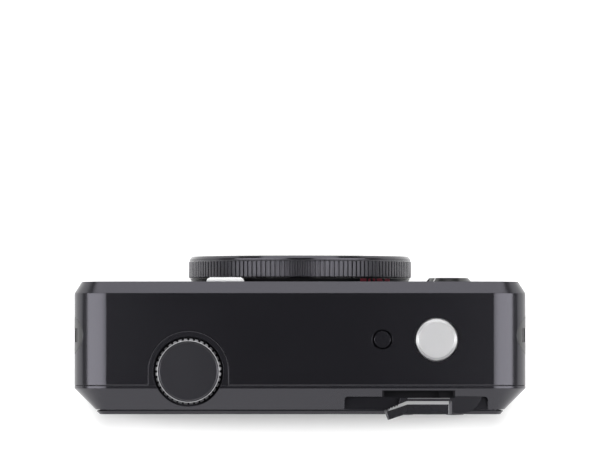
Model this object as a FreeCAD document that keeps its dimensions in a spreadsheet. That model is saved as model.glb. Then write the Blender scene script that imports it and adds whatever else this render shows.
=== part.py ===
"""A compact hybrid instant-print camera, modelled piece by piece.

The camera stands on its base.  X runs along its width, Y from its back to its lens
and Z up.  The origin is on the base, under the lens axis.
"""
import FreeCAD, Part
import math
import os
import re
import Sketcher
from FreeCAD import Placement, Rotation, Vector

SIZES = {
    # casing
    "body_width": 124.0, "body_height": 91.0, "corner_radius": 9.0, "wall": 2.0,
    "face_y": 18.2, "front_depth": 28.6, "rear_depth": 6.5,
    "face_bevel_in": 2.05, "face_bevel_back": 3.2, "back_bevel": 5.8, "seam_bevel": 0.2,
    "back_skin": 1.4, "mouth_inset": 7.6, "mouth_radius": 2.0, "fit": 0.1, "seat": 0.3,
    # film door
    "door_gap": 0.35, "door_rim": 0.95, "door_plug": 2.45, "door_play": 0.4,
    "notch_left": 1.7, "notch_right": 2.4, "notch_front": 1.5,
    "hinge_x": 56.6, "hinge_y": 14.6, "knuckle_radius": 1.15, "hinge_pin_radius": 0.6,
    "knuckle_length": 7.0, "knuckle_low": 20.0, "knuckle_high": 62.0,
    "latch_height": 13.0, "latch_width": 5.0, "latch_travel": 2.0, "latch_thick": 1.1,
    "latch_rib": 0.6, "latch_rib_step": 1.2, "latch_rib_rise": 0.3,
    # display and rear keys
    "window_width": 68.0, "window_height": 52.0, "window_x": -14.0, "window_z": 45.5,
    "window_thick": 0.8, "panel_thick": 1.1, "key_column": 36.0, "pad_z": 40.0,
    "pad_radius": 8.5, "ok_radius": 3.0, "key_radius": 2.7, "key_spread": 7.0,
    "key_rise": 20.0, "key_depth": 1.7, "key_proud": 0.4, "key_travel": 0.4,
    # lens
    "lens_z": 44.0, "ring_radius": 31.1, "ring_bore": 26.7, "ring_gap": 0.12,
    "neck_radius": 30.1, "neck_depth": 1.15, "knurl_depth": 4.6, "lip_depth": 1.5,
    "rib_count": 144, "rib_depth": 0.45, "rib_width": 0.75, "sleeve_bore": 24.0,
    "sleeve_shoulder": 27.2, "sleeve_back": 4.2, "barrel_radius": 13.0, "barrel_bore": 11.0,
    "barrel_front": 21.0, "barrel_back": 3.0, "carrier_thick": 1.8, "front_glass_thick": 2.4,
    "bezel_rim": 1.4, "bezel_rise": 1.6, "bezel_step": 17.0, "rear_glass_radius": 8.0, "rear_glass_y": 7.0,
    "rear_glass_thick": 3.0, "front_dome": 1.4, "rear_dome": 0.6,
    # flash
    "flash_x": -20.5, "flash_z": 80.0, "flash_width": 10.6, "flash_height": 8.0,
    "flash_corner": 1.6, "flash_proud": 1.1, "flash_thick": 1.2, "tube_radius": 1.2,
    "dish_deep": 5.0, "dish_mouth": 3.6, "dish_back": 2.0, "dish_skin": 0.4,
    # front release with the power collar, and the mirror
    "release_x": 41.2, "release_z": 64.0, "collar_radius": 6.37, "collar_top": 5.24,
    "collar_proud": 1.2, "collar_bore": 3.9, "release_travel": 0.8, "mirror_z": 45.0,
    "mirror_radius": 4.2, "mirror_deep": 0.9,
    # top buttons
    "shutter_x": 37.36, "top_button_y": 2.28, "shutter_radius": 5.63, "shutter_face": 4.88,
    "shutter_rise": 1.7, "shutter_gap": 0.32, "shutter_travel": 1.2, "stem_radius": 1.6,
    "small_x": 22.54, "small_radius": 2.43, "small_gap": 0.35, "small_rise": 0.25,
    "small_travel": 0.4, "cap_depth": 1.6, "flange_extra": 0.9, "flange_thick": 0.6,
    # dial
    "dial_x": -30.55, "dial_y": -6.44, "dial_radius": 9.0, "dial_top": 8.53, "teeth_count": 36,
    "dial_rise": 1.2, "dial_well": 9.6, "dial_well_depth": 5.75, "land_radius": 11.04,
    "land_thick": 7.15, "land_rise": 0.15, "dial_shaft": 2.0, "bush_radius": 3.4,
    "bush_drop": 2.0, "shaft_drop": 4.5,
    # print lever
    "pocket_left": 12.06, "pocket_right": 51.6, "pocket_y": 13.3, "pocket_floor": 85.0,
    "seat_thick": 1.5, "slot_left": 23.0, "slot_right": 42.0, "slot_y": 11.8, "hub_x": 44.0, "hub_y": 12.1,
    "hub_radius": 5.9, "hub_thick": 1.6, "hub_play": 0.3, "lever_thick": 2.8,
    "lever_lift": 0.4, "lever_pin": 0.9, "pin_top": 88.5, "ledge_front": 13.73,
    "ledge_left": 27.5, "ledge_right": 40.7, "ledge_thick": 2.0, "arm_front": 14.58,
    "arm_rear": 18.14, "arm_right": 41.6, "arm_bend": 29.3, "grip_bevel": 0.9,
    "grip_bevel_drop": 0.75, "tip_x": 23.0, "tip_front": 17.1, "tip_rear": 19.8,
    "tip_end": 24.1, "serration_count": 5, "serration_depth": 0.3, "serration_step": 0.78,
    "spring_wire": 0.2, "spring_tall": 2.4, "spring_turns": 4,
    # strap lugs
    "lug_y": 3.5, "lug_drop": 7.9, "lug_radius": 5.0, "lug_depth": 3.6, "lug_eye": 1.9,
    "lug_eye_tall": 6.4, "lug_dish": 2.2, "strap_bar": 0.7, "lug_clear": 0.12,
    # film path
    "pack_left": -43.0, "pack_length": 92.0, "pack_width": 61.0, "pack_thick": 10.4,
    "pack_front": -3.9, "film_y": -5.0, "roller_x": -51.5, "roller_radius": 3.5,
    "film_nip": 0.1, "roller_low": 14.6, "roller_high": 75.4, "axle_radius": 1.0,
    "cheek_thick": 1.4, "web_front": 4.6, "exit_tall": 57.0, "exit_wide": 1.8, "frame_right": -38.0,
    "gear_thick": 2.0, "gear_module": 0.6, "roller_teeth": 12, "idler_teeth": 14,
    "pinion_teeth": 10, "motor_radius": 6.0, "motor_long": 24.0, "motor_x": -45.0,
    "motor_y": 9.0, "running": 0.06,
    # inside
    "plate_y": -3.6, "plate_thick": 1.2, "plate_top": 75.0, "board_thick": 1.2,
    "shelf_left": 14.0, "shelf_right": 52.0, "shelf_deep": 10.0, "cell_left": 20.0,
    "cell_width": 26.0, "cell_thick": 8.0, "cell_tall": 38.0,
    # port door and base
    "usb_long": 8.0, "usb_thick": 3.3, "usb_tall": 9.0, "usb_rise": 10.5, "usb_skin": 0.4,
    "card_long": 14.0, "card_thick": 1.9, "card_tall": 8.8, "card_rise": 0.8, "card_skin": 0.5,
    "port_z": 14.0, "port_tall": 22.0, "port_wide": 11.0, "port_thick": 1.6, "port_pin": 0.4,
    "bush_height": 7.0, "thread_radius": 2.6, "thread_depth": 5.6, "tripod_radius": 4.4,
    "tripod_flange": 5.6, "flange_height": 1.2, "boss_radius": 7.0,
}

os.makedirs("parts", exist_ok=True)
doc = FreeCAD.newDocument("camera")
sheet = doc.addObject("Spreadsheet::Sheet", "sizes")
for row, (alias, number) in enumerate(SIZES.items(), start=1):
    sheet.set(f"A{row}", alias)
    sheet.set(f"B{row}", str(number))
    sheet.setAlias(f"B{row}", alias)
doc.recompute()

PLANES = {"top": "XY_Plane", "front": "XZ_Plane", "side": "YZ_Plane"}
NORMALS = {"top": "up", "front": "back", "side": "right"}
TURNS = {
    "up": Rotation(), "down": Rotation(Vector(1, 0, 0), 180),
    "forward": Rotation(Vector(1, 0, 0), -90), "back": Rotation(Vector(1, 0, 0), 90),
    "right": Rotation(Vector(0, 1, 0), 90), "left": Rotation(Vector(0, 1, 0), -90),
}
pieces = []
planes_used = {}


def formula(text):
    """Write a size formula with the sheet's name before each alias."""
    return re.sub(r"[a-z_]+", lambda m: f"sizes.{m[0]}" if m[0] in SIZES else m[0], str(text))


def measure(text):
    """Work out what a size formula is worth."""
    return float(sheet.evalExpression(formula(text)))


def bind(item, **bindings):
    """Tie properties of an object to size formulas; dots are written as two underscores."""
    for name, text in bindings.items():
        item.setExpression(name.replace("__", "."), formula(text))


def place(item, at, way="up"):
    """Turn an object's own Z to the given way and tie its place to the sheet."""
    item.Placement = Placement(Vector(), TURNS[way])
    bind(item, Placement__Base__x=at[0], Placement__Base__y=at[1], Placement__Base__z=at[2])


def keep(item, label):
    """Count an object as one of the camera's pieces."""
    item.Label = label
    pieces.append(item)
    return item


def new_body(label, at=(0, 0, 0), way="up", piece=True):
    body = doc.addObject("PartDesign::Body", "body_" + label)
    place(body, at, way)
    return keep(body, label) if piece else body


def sketch_on(body, plane, level=0):
    """A sketch on one of the body's own planes, at a level along X, Y or Z."""
    sketch = body.newObject("Sketcher::SketchObject", "sketch")
    origin = next(f for f in body.Origin.OriginFeatures if f.Role == PLANES[plane])
    sketch.AttachmentSupport = [(origin, "")]
    sketch.MapMode = "FlatFace"
    sign = "-" if plane == "front" else ""
    bind(sketch, AttachmentOffset__Base__z=f"{sign}({level})")
    planes_used[sketch.Name] = plane
    return sketch


def hold_point(sketch, shape_id, point_id, at):
    """Hold a point of a sketch at the place that two formulas give."""
    for kind, text in zip(("DistanceX", "DistanceY"), at):
        number = sketch.addConstraint(
            Sketcher.Constraint(kind, -1, 1, shape_id, point_id, measure(text)))
        bind(sketch, **{f"Constraints[{number}]": text})


def circle(sketch, at, radius):
    centre = Vector(measure(at[0]), measure(at[1]), 0)
    ring = sketch.addGeometry(Part.Circle(centre, Vector(0, 0, 1), measure(radius)), False)
    number = sketch.addConstraint(Sketcher.Constraint("Radius", ring, measure(radius)))
    bind(sketch, **{f"Constraints[{number}]": radius})
    hold_point(sketch, ring, 3, at)


def outline(sketch, corners):
    """A closed outline of straight lines through the corners."""
    spots = [Vector(measure(x), measure(y), 0) for x, y in corners]
    lines = [sketch.addGeometry(Part.LineSegment(a, b), False)
             for a, b in zip(spots, spots[1:] + spots[:1])]
    for line, following in zip(lines, lines[1:] + lines[:1]):
        sketch.addConstraint(Sketcher.Constraint("Coincident", line, 2, following, 1))
    for line, corner in zip(lines, corners):
        hold_point(sketch, line, 1, corner)


def rounded(sketch, left, right, low, high, radius):
    """A rectangle with four equal round corners, each arc held at both ends and its centre."""
    corner = f"({radius})"
    x_in = {"left": f"{left} + {corner}", "right": f"{right} - {corner}"}
    y_in = {"low": f"{low} + {corner}", "high": f"{high} - {corner}"}
    arcs = []
    for x_name, y_name, turn in (("right", "high", 0), ("left", "high", 90),
                                 ("left", "low", 180), ("right", "low", 270)):
        centre = Vector(measure(x_in[x_name]), measure(y_in[y_name]), 0)
        ring = Part.Circle(centre, Vector(0, 0, 1), measure(radius))
        start = math.radians(turn)
        arc = sketch.addGeometry(Part.ArcOfCircle(ring, start, start + math.pi / 2), False)
        hold_point(sketch, arc, 3, (x_in[x_name], y_in[y_name]))
        arcs.append(arc)
    number = sketch.addConstraint(Sketcher.Constraint("Radius", arcs[0], measure(radius)))
    bind(sketch, **{f"Constraints[{number}]": radius})
    for arc in arcs[1:]:
        sketch.addConstraint(Sketcher.Constraint("Equal", arcs[0], arc))
    shapes = sketch.Geometry
    for index, arc in enumerate(arcs):
        following = arcs[(index + 1) % 4]
        line = sketch.addGeometry(
            Part.LineSegment(shapes[arc].EndPoint, shapes[following].StartPoint), False)
        sketch.addConstraint(Sketcher.Constraint("Tangent", arc, 2, line, 1))
        sketch.addConstraint(Sketcher.Constraint("Tangent", line, 2, following, 1))


def body_of(sketch):
    return sketch.getParentGeoFeatureGroup()


def pad(sketch, length, way):
    feature = body_of(sketch).newObject("PartDesign::Pad", "pad")
    feature.Profile = sketch
    feature.Reversed = way != NORMALS[planes_used[sketch.Name]]
    bind(feature, Length=length)
    return feature


def settle(body):
    """Work the body out up to its last feature, and stop if a feature failed."""
    doc.recompute()
    for item in body.Group:
        if "Invalid" in item.State or "Error" in item.State:
            raise RuntimeError(f"{body.Label}: {item.Name} failed")
    return body.Tip.Shape


def cut(sketch, depth, way):
    """Cut a sketch into its body, and stop if nothing was cut."""
    body = body_of(sketch)
    before = settle(body).Volume
    feature = body.newObject("PartDesign::Pocket", "pocket")
    feature.Profile = sketch
    feature.Reversed = way == NORMALS[planes_used[sketch.Name]]
    bind(feature, Length=depth)
    if abs(settle(body).Volume - before) < 1e-6:
        raise RuntimeError(f"{body.Label}: a pocket cut nothing")
    return feature


def dress(body, kind, chosen, **sizes):
    """Fillet or chamfer the edges of the body's last feature that a test chooses."""
    edges = settle(body).Edges
    base = body.Tip
    names = [f"Edge{n}" for n, edge in enumerate(edges, start=1) if chosen(edge)]
    feature = body.newObject("PartDesign::" + kind, kind.lower())
    feature.Base = (base, names)
    if len(sizes) > 1:
        feature.ChamferType = "Two distances"
    bind(feature, **sizes)
    return feature


def repeat(body, feature, count, axis):
    """Repeat a feature round an axis of its sketch."""
    ring = body.newObject("PartDesign::PolarPattern", "ring")
    ring.Originals = [feature]
    ring.Axis = (feature.Profile[0], [axis])
    ring.Angle = 360
    bind(ring, Occurrences=count)
    body.Tip = ring
    doc.recompute()
    return ring


def turned(label, profile, at=(0, 0, 0), way="up", piece=True):
    """A turned piece: (radius, height) corners spun about the piece's own Z."""
    body = new_body(label, at, way, piece)
    sketch = sketch_on(body, "front")
    outline(sketch, profile)
    spin = body.newObject("PartDesign::Revolution", "spin")
    spin.Profile = sketch
    spin.ReferenceAxis = (sketch, ["V_Axis"])
    spin.Angle = 360
    return body


def block(label, left, right, back, front, low, high, piece=True):
    """A plain box between six limits."""
    box = doc.addObject("Part::Box", "box_" + label)
    place(box, (left, back, low))
    bind(box, Length=f"({right}) - ({left})", Width=f"({front}) - ({back})",
         Height=f"({high}) - ({low})")
    return keep(box, label) if piece else box


def rod(label, at, radius, length, way, piece=True):
    cylinder = doc.addObject("Part::Cylinder", "rod_" + label)
    place(cylinder, at, way)
    bind(cylinder, Radius=radius, Height=length)
    return keep(cylinder, label) if piece else cylinder


def group(label, members):
    """Like pieces that stay separate solids in one node."""
    cluster = doc.addObject("Part::Compound", "group_" + label)
    cluster.Links = members
    return keep(cluster, label)


def level_at(edge, axis, text):
    """Whether an edge lies flat at a level along X, Y or Z."""
    low, high = (getattr(edge.BoundBox, axis + end) for end in ("Min", "Max"))
    return abs(low - measure(text)) < 1e-4 and abs(high - measure(text)) < 1e-4


SIDE = "(body_width / 2)"
SEAM = "(face_y - front_depth)"
BACK = "(face_y - front_depth - rear_depth)"
DOOR_IN = "(face_y - front_depth - rear_depth - door_gap)"
DOOR_OUT = "(face_y - front_depth - rear_depth - door_gap - door_rim)"
LUG_Z = "(body_height - lug_drop)"


def shell_outline(sketch, inset, radius):
    rounded(sketch, f"-{SIDE} + {inset}", f"{SIDE} - {inset}", inset,
            f"body_height - {inset}", radius)


def land_outline(sketch, extra):
    """The round-fronted land about the dial: an arc with straight sides back to the seam."""
    reach = f"(land_radius + {extra})"
    centre = Vector(measure("dial_x"), measure("dial_y"), 0)
    round_edge = Part.Circle(centre, Vector(0, 0, 1), measure(reach))
    arc = sketch.addGeometry(Part.ArcOfCircle(round_edge, 0, math.pi), False)
    hold_point(sketch, arc, 3, ("dial_x", "dial_y"))
    number = sketch.addConstraint(Sketcher.Constraint("Radius", arc, measure(reach)))
    bind(sketch, **{f"Constraints[{number}]": reach})
    right, left = (sketch.Geometry[arc].StartPoint, sketch.Geometry[arc].EndPoint)
    end_y = measure(f"{SEAM} - {extra}")
    corners = [left, Vector(left.x, end_y, 0), Vector(right.x, end_y, 0), right]
    lines = [sketch.addGeometry(Part.LineSegment(a, b), False)
             for a, b in zip(corners, corners[1:])]
    for end in (1, 2):
        level = sketch.addConstraint(
            Sketcher.Constraint("DistanceY", -1, 1, arc, end, measure("dial_y")))
        bind(sketch, **{f"Constraints[{level}]": "dial_y"})
    chain = [(arc, 2), (lines[0], 1), (lines[0], 2), (lines[1], 1),
             (lines[1], 2), (lines[2], 1), (lines[2], 2), (arc, 1)]
    for (first, end), (second, start) in zip(chain[::2], chain[1::2]):
        sketch.addConstraint(Sketcher.Constraint("Coincident", first, end, second, start))
    for end, sign in ((1, "-"), (2, "+")):
        hold_point(sketch, lines[1], end, (f"dial_x {sign} {reach}", f"{SEAM} - {extra}"))


# ---------------------------------------------------------------- front shell
shell = new_body("front_shell")
walls = sketch_on(shell, "front", "face_y")
shell_outline(walls, "0", "corner_radius")
pad(walls, "front_depth", "back")
dress(shell, "Chamfer", lambda e: level_at(e, "Y", "face_y"),
      Size="face_bevel_in", Size2="face_bevel_back")
flat = max((f for f in settle(shell).Faces if level_at(f, "Y", "face_y")), key=lambda f: f.Area)
# A bevel takes its two distances in either order, so the face it leaves settles which.
shell.Tip.FlipDirection = flat.BoundBox.XMax < measure(f"{SIDE} - face_bevel_in") - 1e-3
dress(shell, "Chamfer", lambda e: level_at(e, "Y", SEAM), Size="seam_bevel")
cavity = sketch_on(shell, "front", SEAM)
shell_outline(cavity, "wall", "corner_radius - wall")
cut(cavity, "front_depth - wall", "forward")
boss = sketch_on(shell, "top", "wall")
circle(boss, ("0", "0"), "boss_radius")
pad(boss, "bush_height - wall - flange_height", "up")

face_holes = sketch_on(shell, "front", "face_y")
circle(face_holes, ("0", "lens_z"), "sleeve_shoulder + fit")
circle(face_holes, ("release_x", "release_z"), "collar_radius + fit")
rounded(face_holes, "flash_x - flash_width / 2", "flash_x + flash_width / 2",
        "flash_z - flash_height / 2", "flash_z + flash_height / 2", "flash_corner")
cut(face_holes, "wall", "back")
mirror_seat = sketch_on(shell, "front", "face_y")
circle(mirror_seat, ("release_x", "mirror_z"), "mirror_radius")
cut(mirror_seat, "mirror_deep", "back")
top_holes = sketch_on(shell, "top", "body_height")
circle(top_holes, ("shutter_x", "top_button_y"), "shutter_radius + shutter_gap")
circle(top_holes, ("small_x", "top_button_y"), "small_radius + small_gap")
cut(top_holes, "wall", "down")
land_hole = sketch_on(shell, "top", "body_height")
land_outline(land_hole, "fit")
cut(land_hole, "wall", "down")
for x_face, way in ((f"-{SIDE}", "right"), (SIDE, "left")):
    lug_hole = sketch_on(shell, "side", x_face)
    circle(lug_hole, ("lug_y", LUG_Z), "lug_radius + lug_clear")
    cut(lug_hole, "lug_depth", way)
exit_slot = sketch_on(shell, "side", f"-{SIDE}")
rounded(exit_slot, "film_y - exit_wide / 2", "film_y + exit_wide / 2",
        "body_height / 2 - exit_tall / 2", "body_height / 2 + exit_tall / 2", "exit_wide / 2.2")
cut(exit_slot, "wall", "right")
port_hole = sketch_on(shell, "side", SIDE)
rounded(port_hole, "-port_wide / 2", "port_wide / 2", "port_z", "port_z + port_tall", "0.3")
cut(port_hole, "wall", "left")
PORT_AXIS = (f"{SIDE} - port_thick / 2", "port_z + fit + port_thick / 2")
port_bore = sketch_on(shell, "front", "port_wide / 2 + wall")
circle(port_bore, PORT_AXIS, "port_pin")
cut(port_bore, "port_wide + 2 * wall", "back")
bush_hole = sketch_on(shell, "top")
circle(bush_hole, ("0", "0"), "tripod_radius")
cut(bush_hole, "bush_height", "up")

# ---------------------------------------------------------------- rear shell
rear = new_body("rear_shell")
ring_walls = sketch_on(rear, "front", SEAM)
shell_outline(ring_walls, "0", "corner_radius")
pad(ring_walls, "rear_depth", "back")
dress(rear, "Chamfer", lambda e: level_at(e, "Y", BACK), Size="back_bevel")
hollow = sketch_on(rear, "front", SEAM)
shell_outline(hollow, "wall", "corner_radius - wall")
cut(hollow, "rear_depth - back_skin", "back").TaperAngle = -45
mouth = sketch_on(rear, "front", SEAM)
shell_outline(mouth, "mouth_inset", "mouth_radius")
cut(mouth, "rear_depth", "back")
# Solid seats behind the back bevel carry the lever's pin and the well of the dial.
for left, right, low in (("pocket_left - seat_thick", "pocket_right + seat_thick", "pocket_floor - seat_thick"),
                         ("dial_x - land_radius", "dial_x + land_radius",
                          "body_height + land_rise - land_thick")):
    seat = sketch_on(rear, "side", left)
    outline(seat, [(SEAM, low), (SEAM, "body_height - 1"),
                   (f"{BACK} + back_bevel", "body_height - 1"),
                   (f"{BACK} + 0.5", "body_height - back_bevel - 0.5"), (f"{BACK} + 0.5", low)])
    pad(seat, f"{right} - ({left})", "right")
pocket = sketch_on(rear, "top", "body_height")
rounded(pocket, "pocket_left", "pocket_right", f"{BACK} - 3", "-pocket_y", "1.1")
cut(pocket, "body_height - pocket_floor", "down")
slot = sketch_on(rear, "top", "body_height")
outline(slot, [("slot_left", "-pocket_y - 0.5"), ("slot_right", "-pocket_y - 0.5"),
               ("slot_right", "-slot_y"), ("slot_left", "-slot_y")])
cut(slot, "body_height - pocket_floor", "down")
hub_room = sketch_on(rear, "top", "pocket_floor")
circle(hub_room, ("hub_x", "-hub_y"), "hub_radius + hub_play")
cut(hub_room, "lever_lift + hub_thick + hub_play", "up")
lever_bore = sketch_on(rear, "top", "pocket_floor - seat_thick")
circle(lever_bore, ("hub_x", "-hub_y"), "lever_pin")
cut(lever_bore, "pin_top + fit - pocket_floor + seat_thick", "up")

land = sketch_on(rear, "top", "body_height + land_rise")
land_outline(land, "0")
pad(land, "land_thick", "down")
well = sketch_on(rear, "top", "body_height + land_rise")
circle(well, ("dial_x", "dial_y"), "dial_well")
cut(well, "dial_well_depth", "down")
bush_seat = sketch_on(rear, "top", "body_height + land_rise")
circle(bush_seat, ("dial_x", "dial_y"), "bush_radius")
cut(bush_seat, "land_thick", "down")

# Two notches in the left-hand edge let the door's hinge arms swing out.
for low in ("knuckle_low", "knuckle_high"):
    notch = sketch_on(rear, "top", f"{low} - seat")
    outline(notch, [("-hinge_x - notch_left", "-hinge_y - 4"), ("-hinge_x - notch_left", "-hinge_y + notch_front"),
                    ("-hinge_x + notch_right", "-hinge_y + notch_front"), ("-hinge_x + notch_right", "-hinge_y - 4")])
    cut(notch, "knuckle_length + 2 * seat", "up")
pin_bore = sketch_on(rear, "top", "knuckle_low - 2 * wall")
circle(pin_bore, ("-hinge_x", "-hinge_y"), "hinge_pin_radius")
cut(pin_bore, "knuckle_high - knuckle_low + knuckle_length + 4 * wall", "up")

# ---------------------------------------------------------------- film door
door = new_body("film_door")
rim = sketch_on(door, "front", DOOR_IN)
rim_inset = "(back_bevel + door_gap)"
shell_outline(rim, rim_inset, f"corner_radius - {rim_inset}")
pad(rim, "door_rim", "back")
dress(door, "Chamfer", lambda e: level_at(e, "Y", DOOR_OUT), Size="door_rim - 0.05")
plug = sketch_on(door, "front", DOOR_IN)
rounded(plug, f"-{SIDE} + mouth_inset + notch_front", f"{SIDE} - mouth_inset - door_play",
        "mouth_inset + door_play", "body_height - mouth_inset - door_play", "mouth_radius")
pad(plug, "door_plug", "forward")
screen_well = sketch_on(door, "front", DOOR_OUT)
rounded(screen_well, "window_x - window_width / 2", "window_x + window_width / 2",
        "window_z - window_height / 2", "window_z + window_height / 2", "1")
cut(screen_well, "window_thick + panel_thick + fit", "forward")
keys = {"key_back": ("key_column - key_spread", "pad_z + key_rise"),
        "key_play": ("key_column + key_spread", "pad_z + key_rise"),
        "key_menu": ("key_column - key_spread", "pad_z - key_rise"),
        "key_delete": ("key_column + key_spread", "pad_z - key_rise")}
key_wells = sketch_on(door, "front", DOOR_OUT)
circle(key_wells, ("key_column", "pad_z"), "pad_radius + fit")
for at in keys.values():
    circle(key_wells, at, "key_radius + fit")
cut(key_wells, "key_depth + key_travel + fit", "forward")
latch_well = sketch_on(door, "front", DOOR_OUT)
rounded(latch_well, f"{SIDE} - mouth_inset - latch_width - 2 * latch_travel",
        f"{SIDE} - mouth_inset - latch_travel / 2", "body_height / 2 - latch_height / 2 - fit",
        "body_height / 2 + latch_height / 2 + fit", "0.6")
cut(latch_well, "latch_thick + fit", "forward")
for low in ("knuckle_low", "knuckle_high"):
    knuckle = sketch_on(door, "top", low)
    circle(knuckle, ("-hinge_x", "-hinge_y"), "knuckle_radius")
    pad(knuckle, "knuckle_length", "up")
    arm = sketch_on(door, "top", low)
    outline(arm, [("-hinge_x - 0.2", "-hinge_y - 0.9"), ("-hinge_x + 0.9", "-hinge_y - 0.2"),
                  ("-hinge_x + 2.1", f"{DOOR_IN} + 0.3"), ("-hinge_x + 4.4", f"{DOOR_IN} + 0.3"),
                  ("-hinge_x + 4.4", f"{DOOR_IN} - 0.3"), ("-hinge_x + 1.9", f"{DOOR_IN} - 0.3")])
    pad(arm, "knuckle_length", "up")
door_bore = sketch_on(door, "top", "knuckle_low - wall")
circle(door_bore, ("-hinge_x", "-hinge_y"), "hinge_pin_radius + running")
cut(door_bore, "knuckle_high - knuckle_low + knuckle_length + 2 * wall", "up")
steel_pins = [rod("door_hinge_pin", ("-hinge_x", "-hinge_y", "knuckle_low - 2 * wall"),
                  "hinge_pin_radius", "knuckle_high - knuckle_low + knuckle_length + 4 * wall",
                  "up", piece=False)]

latch = new_body("door_latch")
slide = sketch_on(latch, "front", f"{DOOR_OUT} + latch_thick")
rounded(slide, f"{SIDE} - mouth_inset - latch_width - latch_travel / 2 - fit",
        f"{SIDE} - mouth_inset - latch_travel / 2 - fit",
        "body_height / 2 - latch_height / 2", "body_height / 2 + latch_height / 2", "0.6")
pad(slide, "latch_thick", "back")
for step in range(3):
    rib = sketch_on(latch, "front", DOOR_OUT)
    left_edge = (f"{SIDE} - mouth_inset - latch_width - latch_travel / 2 + 0.8"
                 f" + {step} * latch_rib_step")
    rounded(rib, left_edge, f"{left_edge} + latch_rib", "body_height / 2 - latch_height / 3",
            "body_height / 2 + latch_height / 3", "latch_rib / 3")
    pad(rib, "latch_rib_rise", "back")

# ---------------------------------------------------------------- display and rear keys
glass = new_body("display_window")
pane = sketch_on(glass, "front", f"{DOOR_OUT} + fit / 2")
rounded(pane, "window_x - window_width / 2 + fit", "window_x + window_width / 2 - fit",
        "window_z - window_height / 2 + fit", "window_z + window_height / 2 - fit", "1 - fit")
pad(pane, "window_thick", "forward")
block("display_panel", "window_x - window_width / 2 + 3", "window_x + window_width / 2 - 3",
      f"{DOOR_OUT} + fit / 2 + window_thick", f"{DOOR_OUT} + fit + window_thick + panel_thick",
      "window_z - window_height / 2 + 3", "window_z + window_height / 2 - 3")


def round_key(label, at, radius, bore=None):
    """A round key in the door: a bevelled cap that stands a little proud."""
    hole = bore or "0"
    turned(label, [(hole, "0"), (radius, "0"), (radius, "key_depth + key_proud - 0.3"),
                   (f"{radius} - 0.3", "key_depth + key_proud"), (hole, "key_depth + key_proud")],
           (at[0], f"{DOOR_OUT} + key_depth", at[1]), "back")


round_key("direction_pad", ("key_column", "pad_z"), "pad_radius", "ok_radius + fit")
round_key("ok_key", ("key_column", "pad_z"), "ok_radius")
for name, at in keys.items():
    round_key(name, at, "key_radius")

# ---------------------------------------------------------------- lens
LENS = ("0", "face_y", "lens_z")
RING_BACK = "(neck_depth + ring_gap)"
LIP = "(neck_depth + ring_gap + knurl_depth)"
FRONT = "(neck_depth + ring_gap + knurl_depth + lip_depth)"
turned("lens_base_ring", [
    ("sleeve_bore", "-sleeve_back"), ("sleeve_shoulder", "-sleeve_back"),
    ("sleeve_shoulder", "0"), ("neck_radius", "0"), ("ring_radius - 0.3", "neck_depth"),
    ("ring_bore - running", "neck_depth"), ("ring_bore - running", f"{LIP} + 0.3"),
    ("sleeve_bore", f"{LIP} + 0.3")], LENS, "forward")
lens_ring = turned("lens_ring", [
    ("ring_bore", RING_BACK), ("ring_radius - 0.25", RING_BACK),
    ("ring_radius", f"{RING_BACK} + 0.25"), ("ring_radius", f"{LIP}"),
    ("ring_radius - 0.25", f"{LIP} + 0.2"), ("ring_radius - 0.2", f"{LIP} + 0.75"),
    ("ring_radius - 0.6", f"{FRONT} - 0.15"), ("ring_radius - 1.2", FRONT),
    ("ring_radius - 2.2", FRONT), ("ring_bore - 1.6", f"{LIP} + 0.75"),
    ("ring_bore - 1.6", f"{LIP} + 0.42"), ("ring_bore", f"{LIP} + 0.42")], LENS, "forward")
groove = sketch_on(lens_ring, "top", f"{RING_BACK} + 0.25")
outline(groove, [("-rib_width / 2", "ring_radius + 0.2"), ("rib_width / 2", "ring_radius + 0.2"),
                 ("rib_width / 4", "ring_radius - rib_depth"),
                 ("-rib_width / 4", "ring_radius - rib_depth")])
repeat(lens_ring, cut(groove, "knurl_depth - 0.35", "up"), "rib_count", "N_Axis")
BEZEL_FACE = "(barrel_front - face_y + bezel_rise)"
turned("lens_bezel", [
    ("barrel_radius + fit", "barrel_front - face_y - 1"),
    ("sleeve_bore - fit", "barrel_front - face_y"), ("sleeve_bore - fit", LIP),
    ("sleeve_bore - bezel_rim", LIP), ("sleeve_bore - 2 * bezel_rim", BEZEL_FACE),
    ("bezel_step", BEZEL_FACE), ("bezel_step - 0.6", f"{BEZEL_FACE} - 0.7"),
    ("barrel_radius + fit", f"{BEZEL_FACE} - 0.7")],
    LENS, "forward")
BARREL = ("0", "0", "lens_z")
turned("lens_barrel", [
    ("rear_glass_radius", "barrel_back"), ("barrel_radius", "barrel_back"),
    ("barrel_radius", "barrel_front"), ("barrel_bore", "barrel_front"),
    ("barrel_bore", "rear_glass_y + rear_glass_thick"),
    ("rear_glass_radius", "rear_glass_y + rear_glass_thick")], BARREL, "forward")
turned("lens_carrier", [
    ("barrel_radius + fit", "face_y - sleeve_back - carrier_thick"),
    ("sleeve_shoulder - 1", "face_y - sleeve_back - carrier_thick"),
    ("sleeve_shoulder - 1", "face_y - sleeve_back"),
    ("barrel_radius + fit", "face_y - sleeve_back")], BARREL, "forward")


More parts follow.
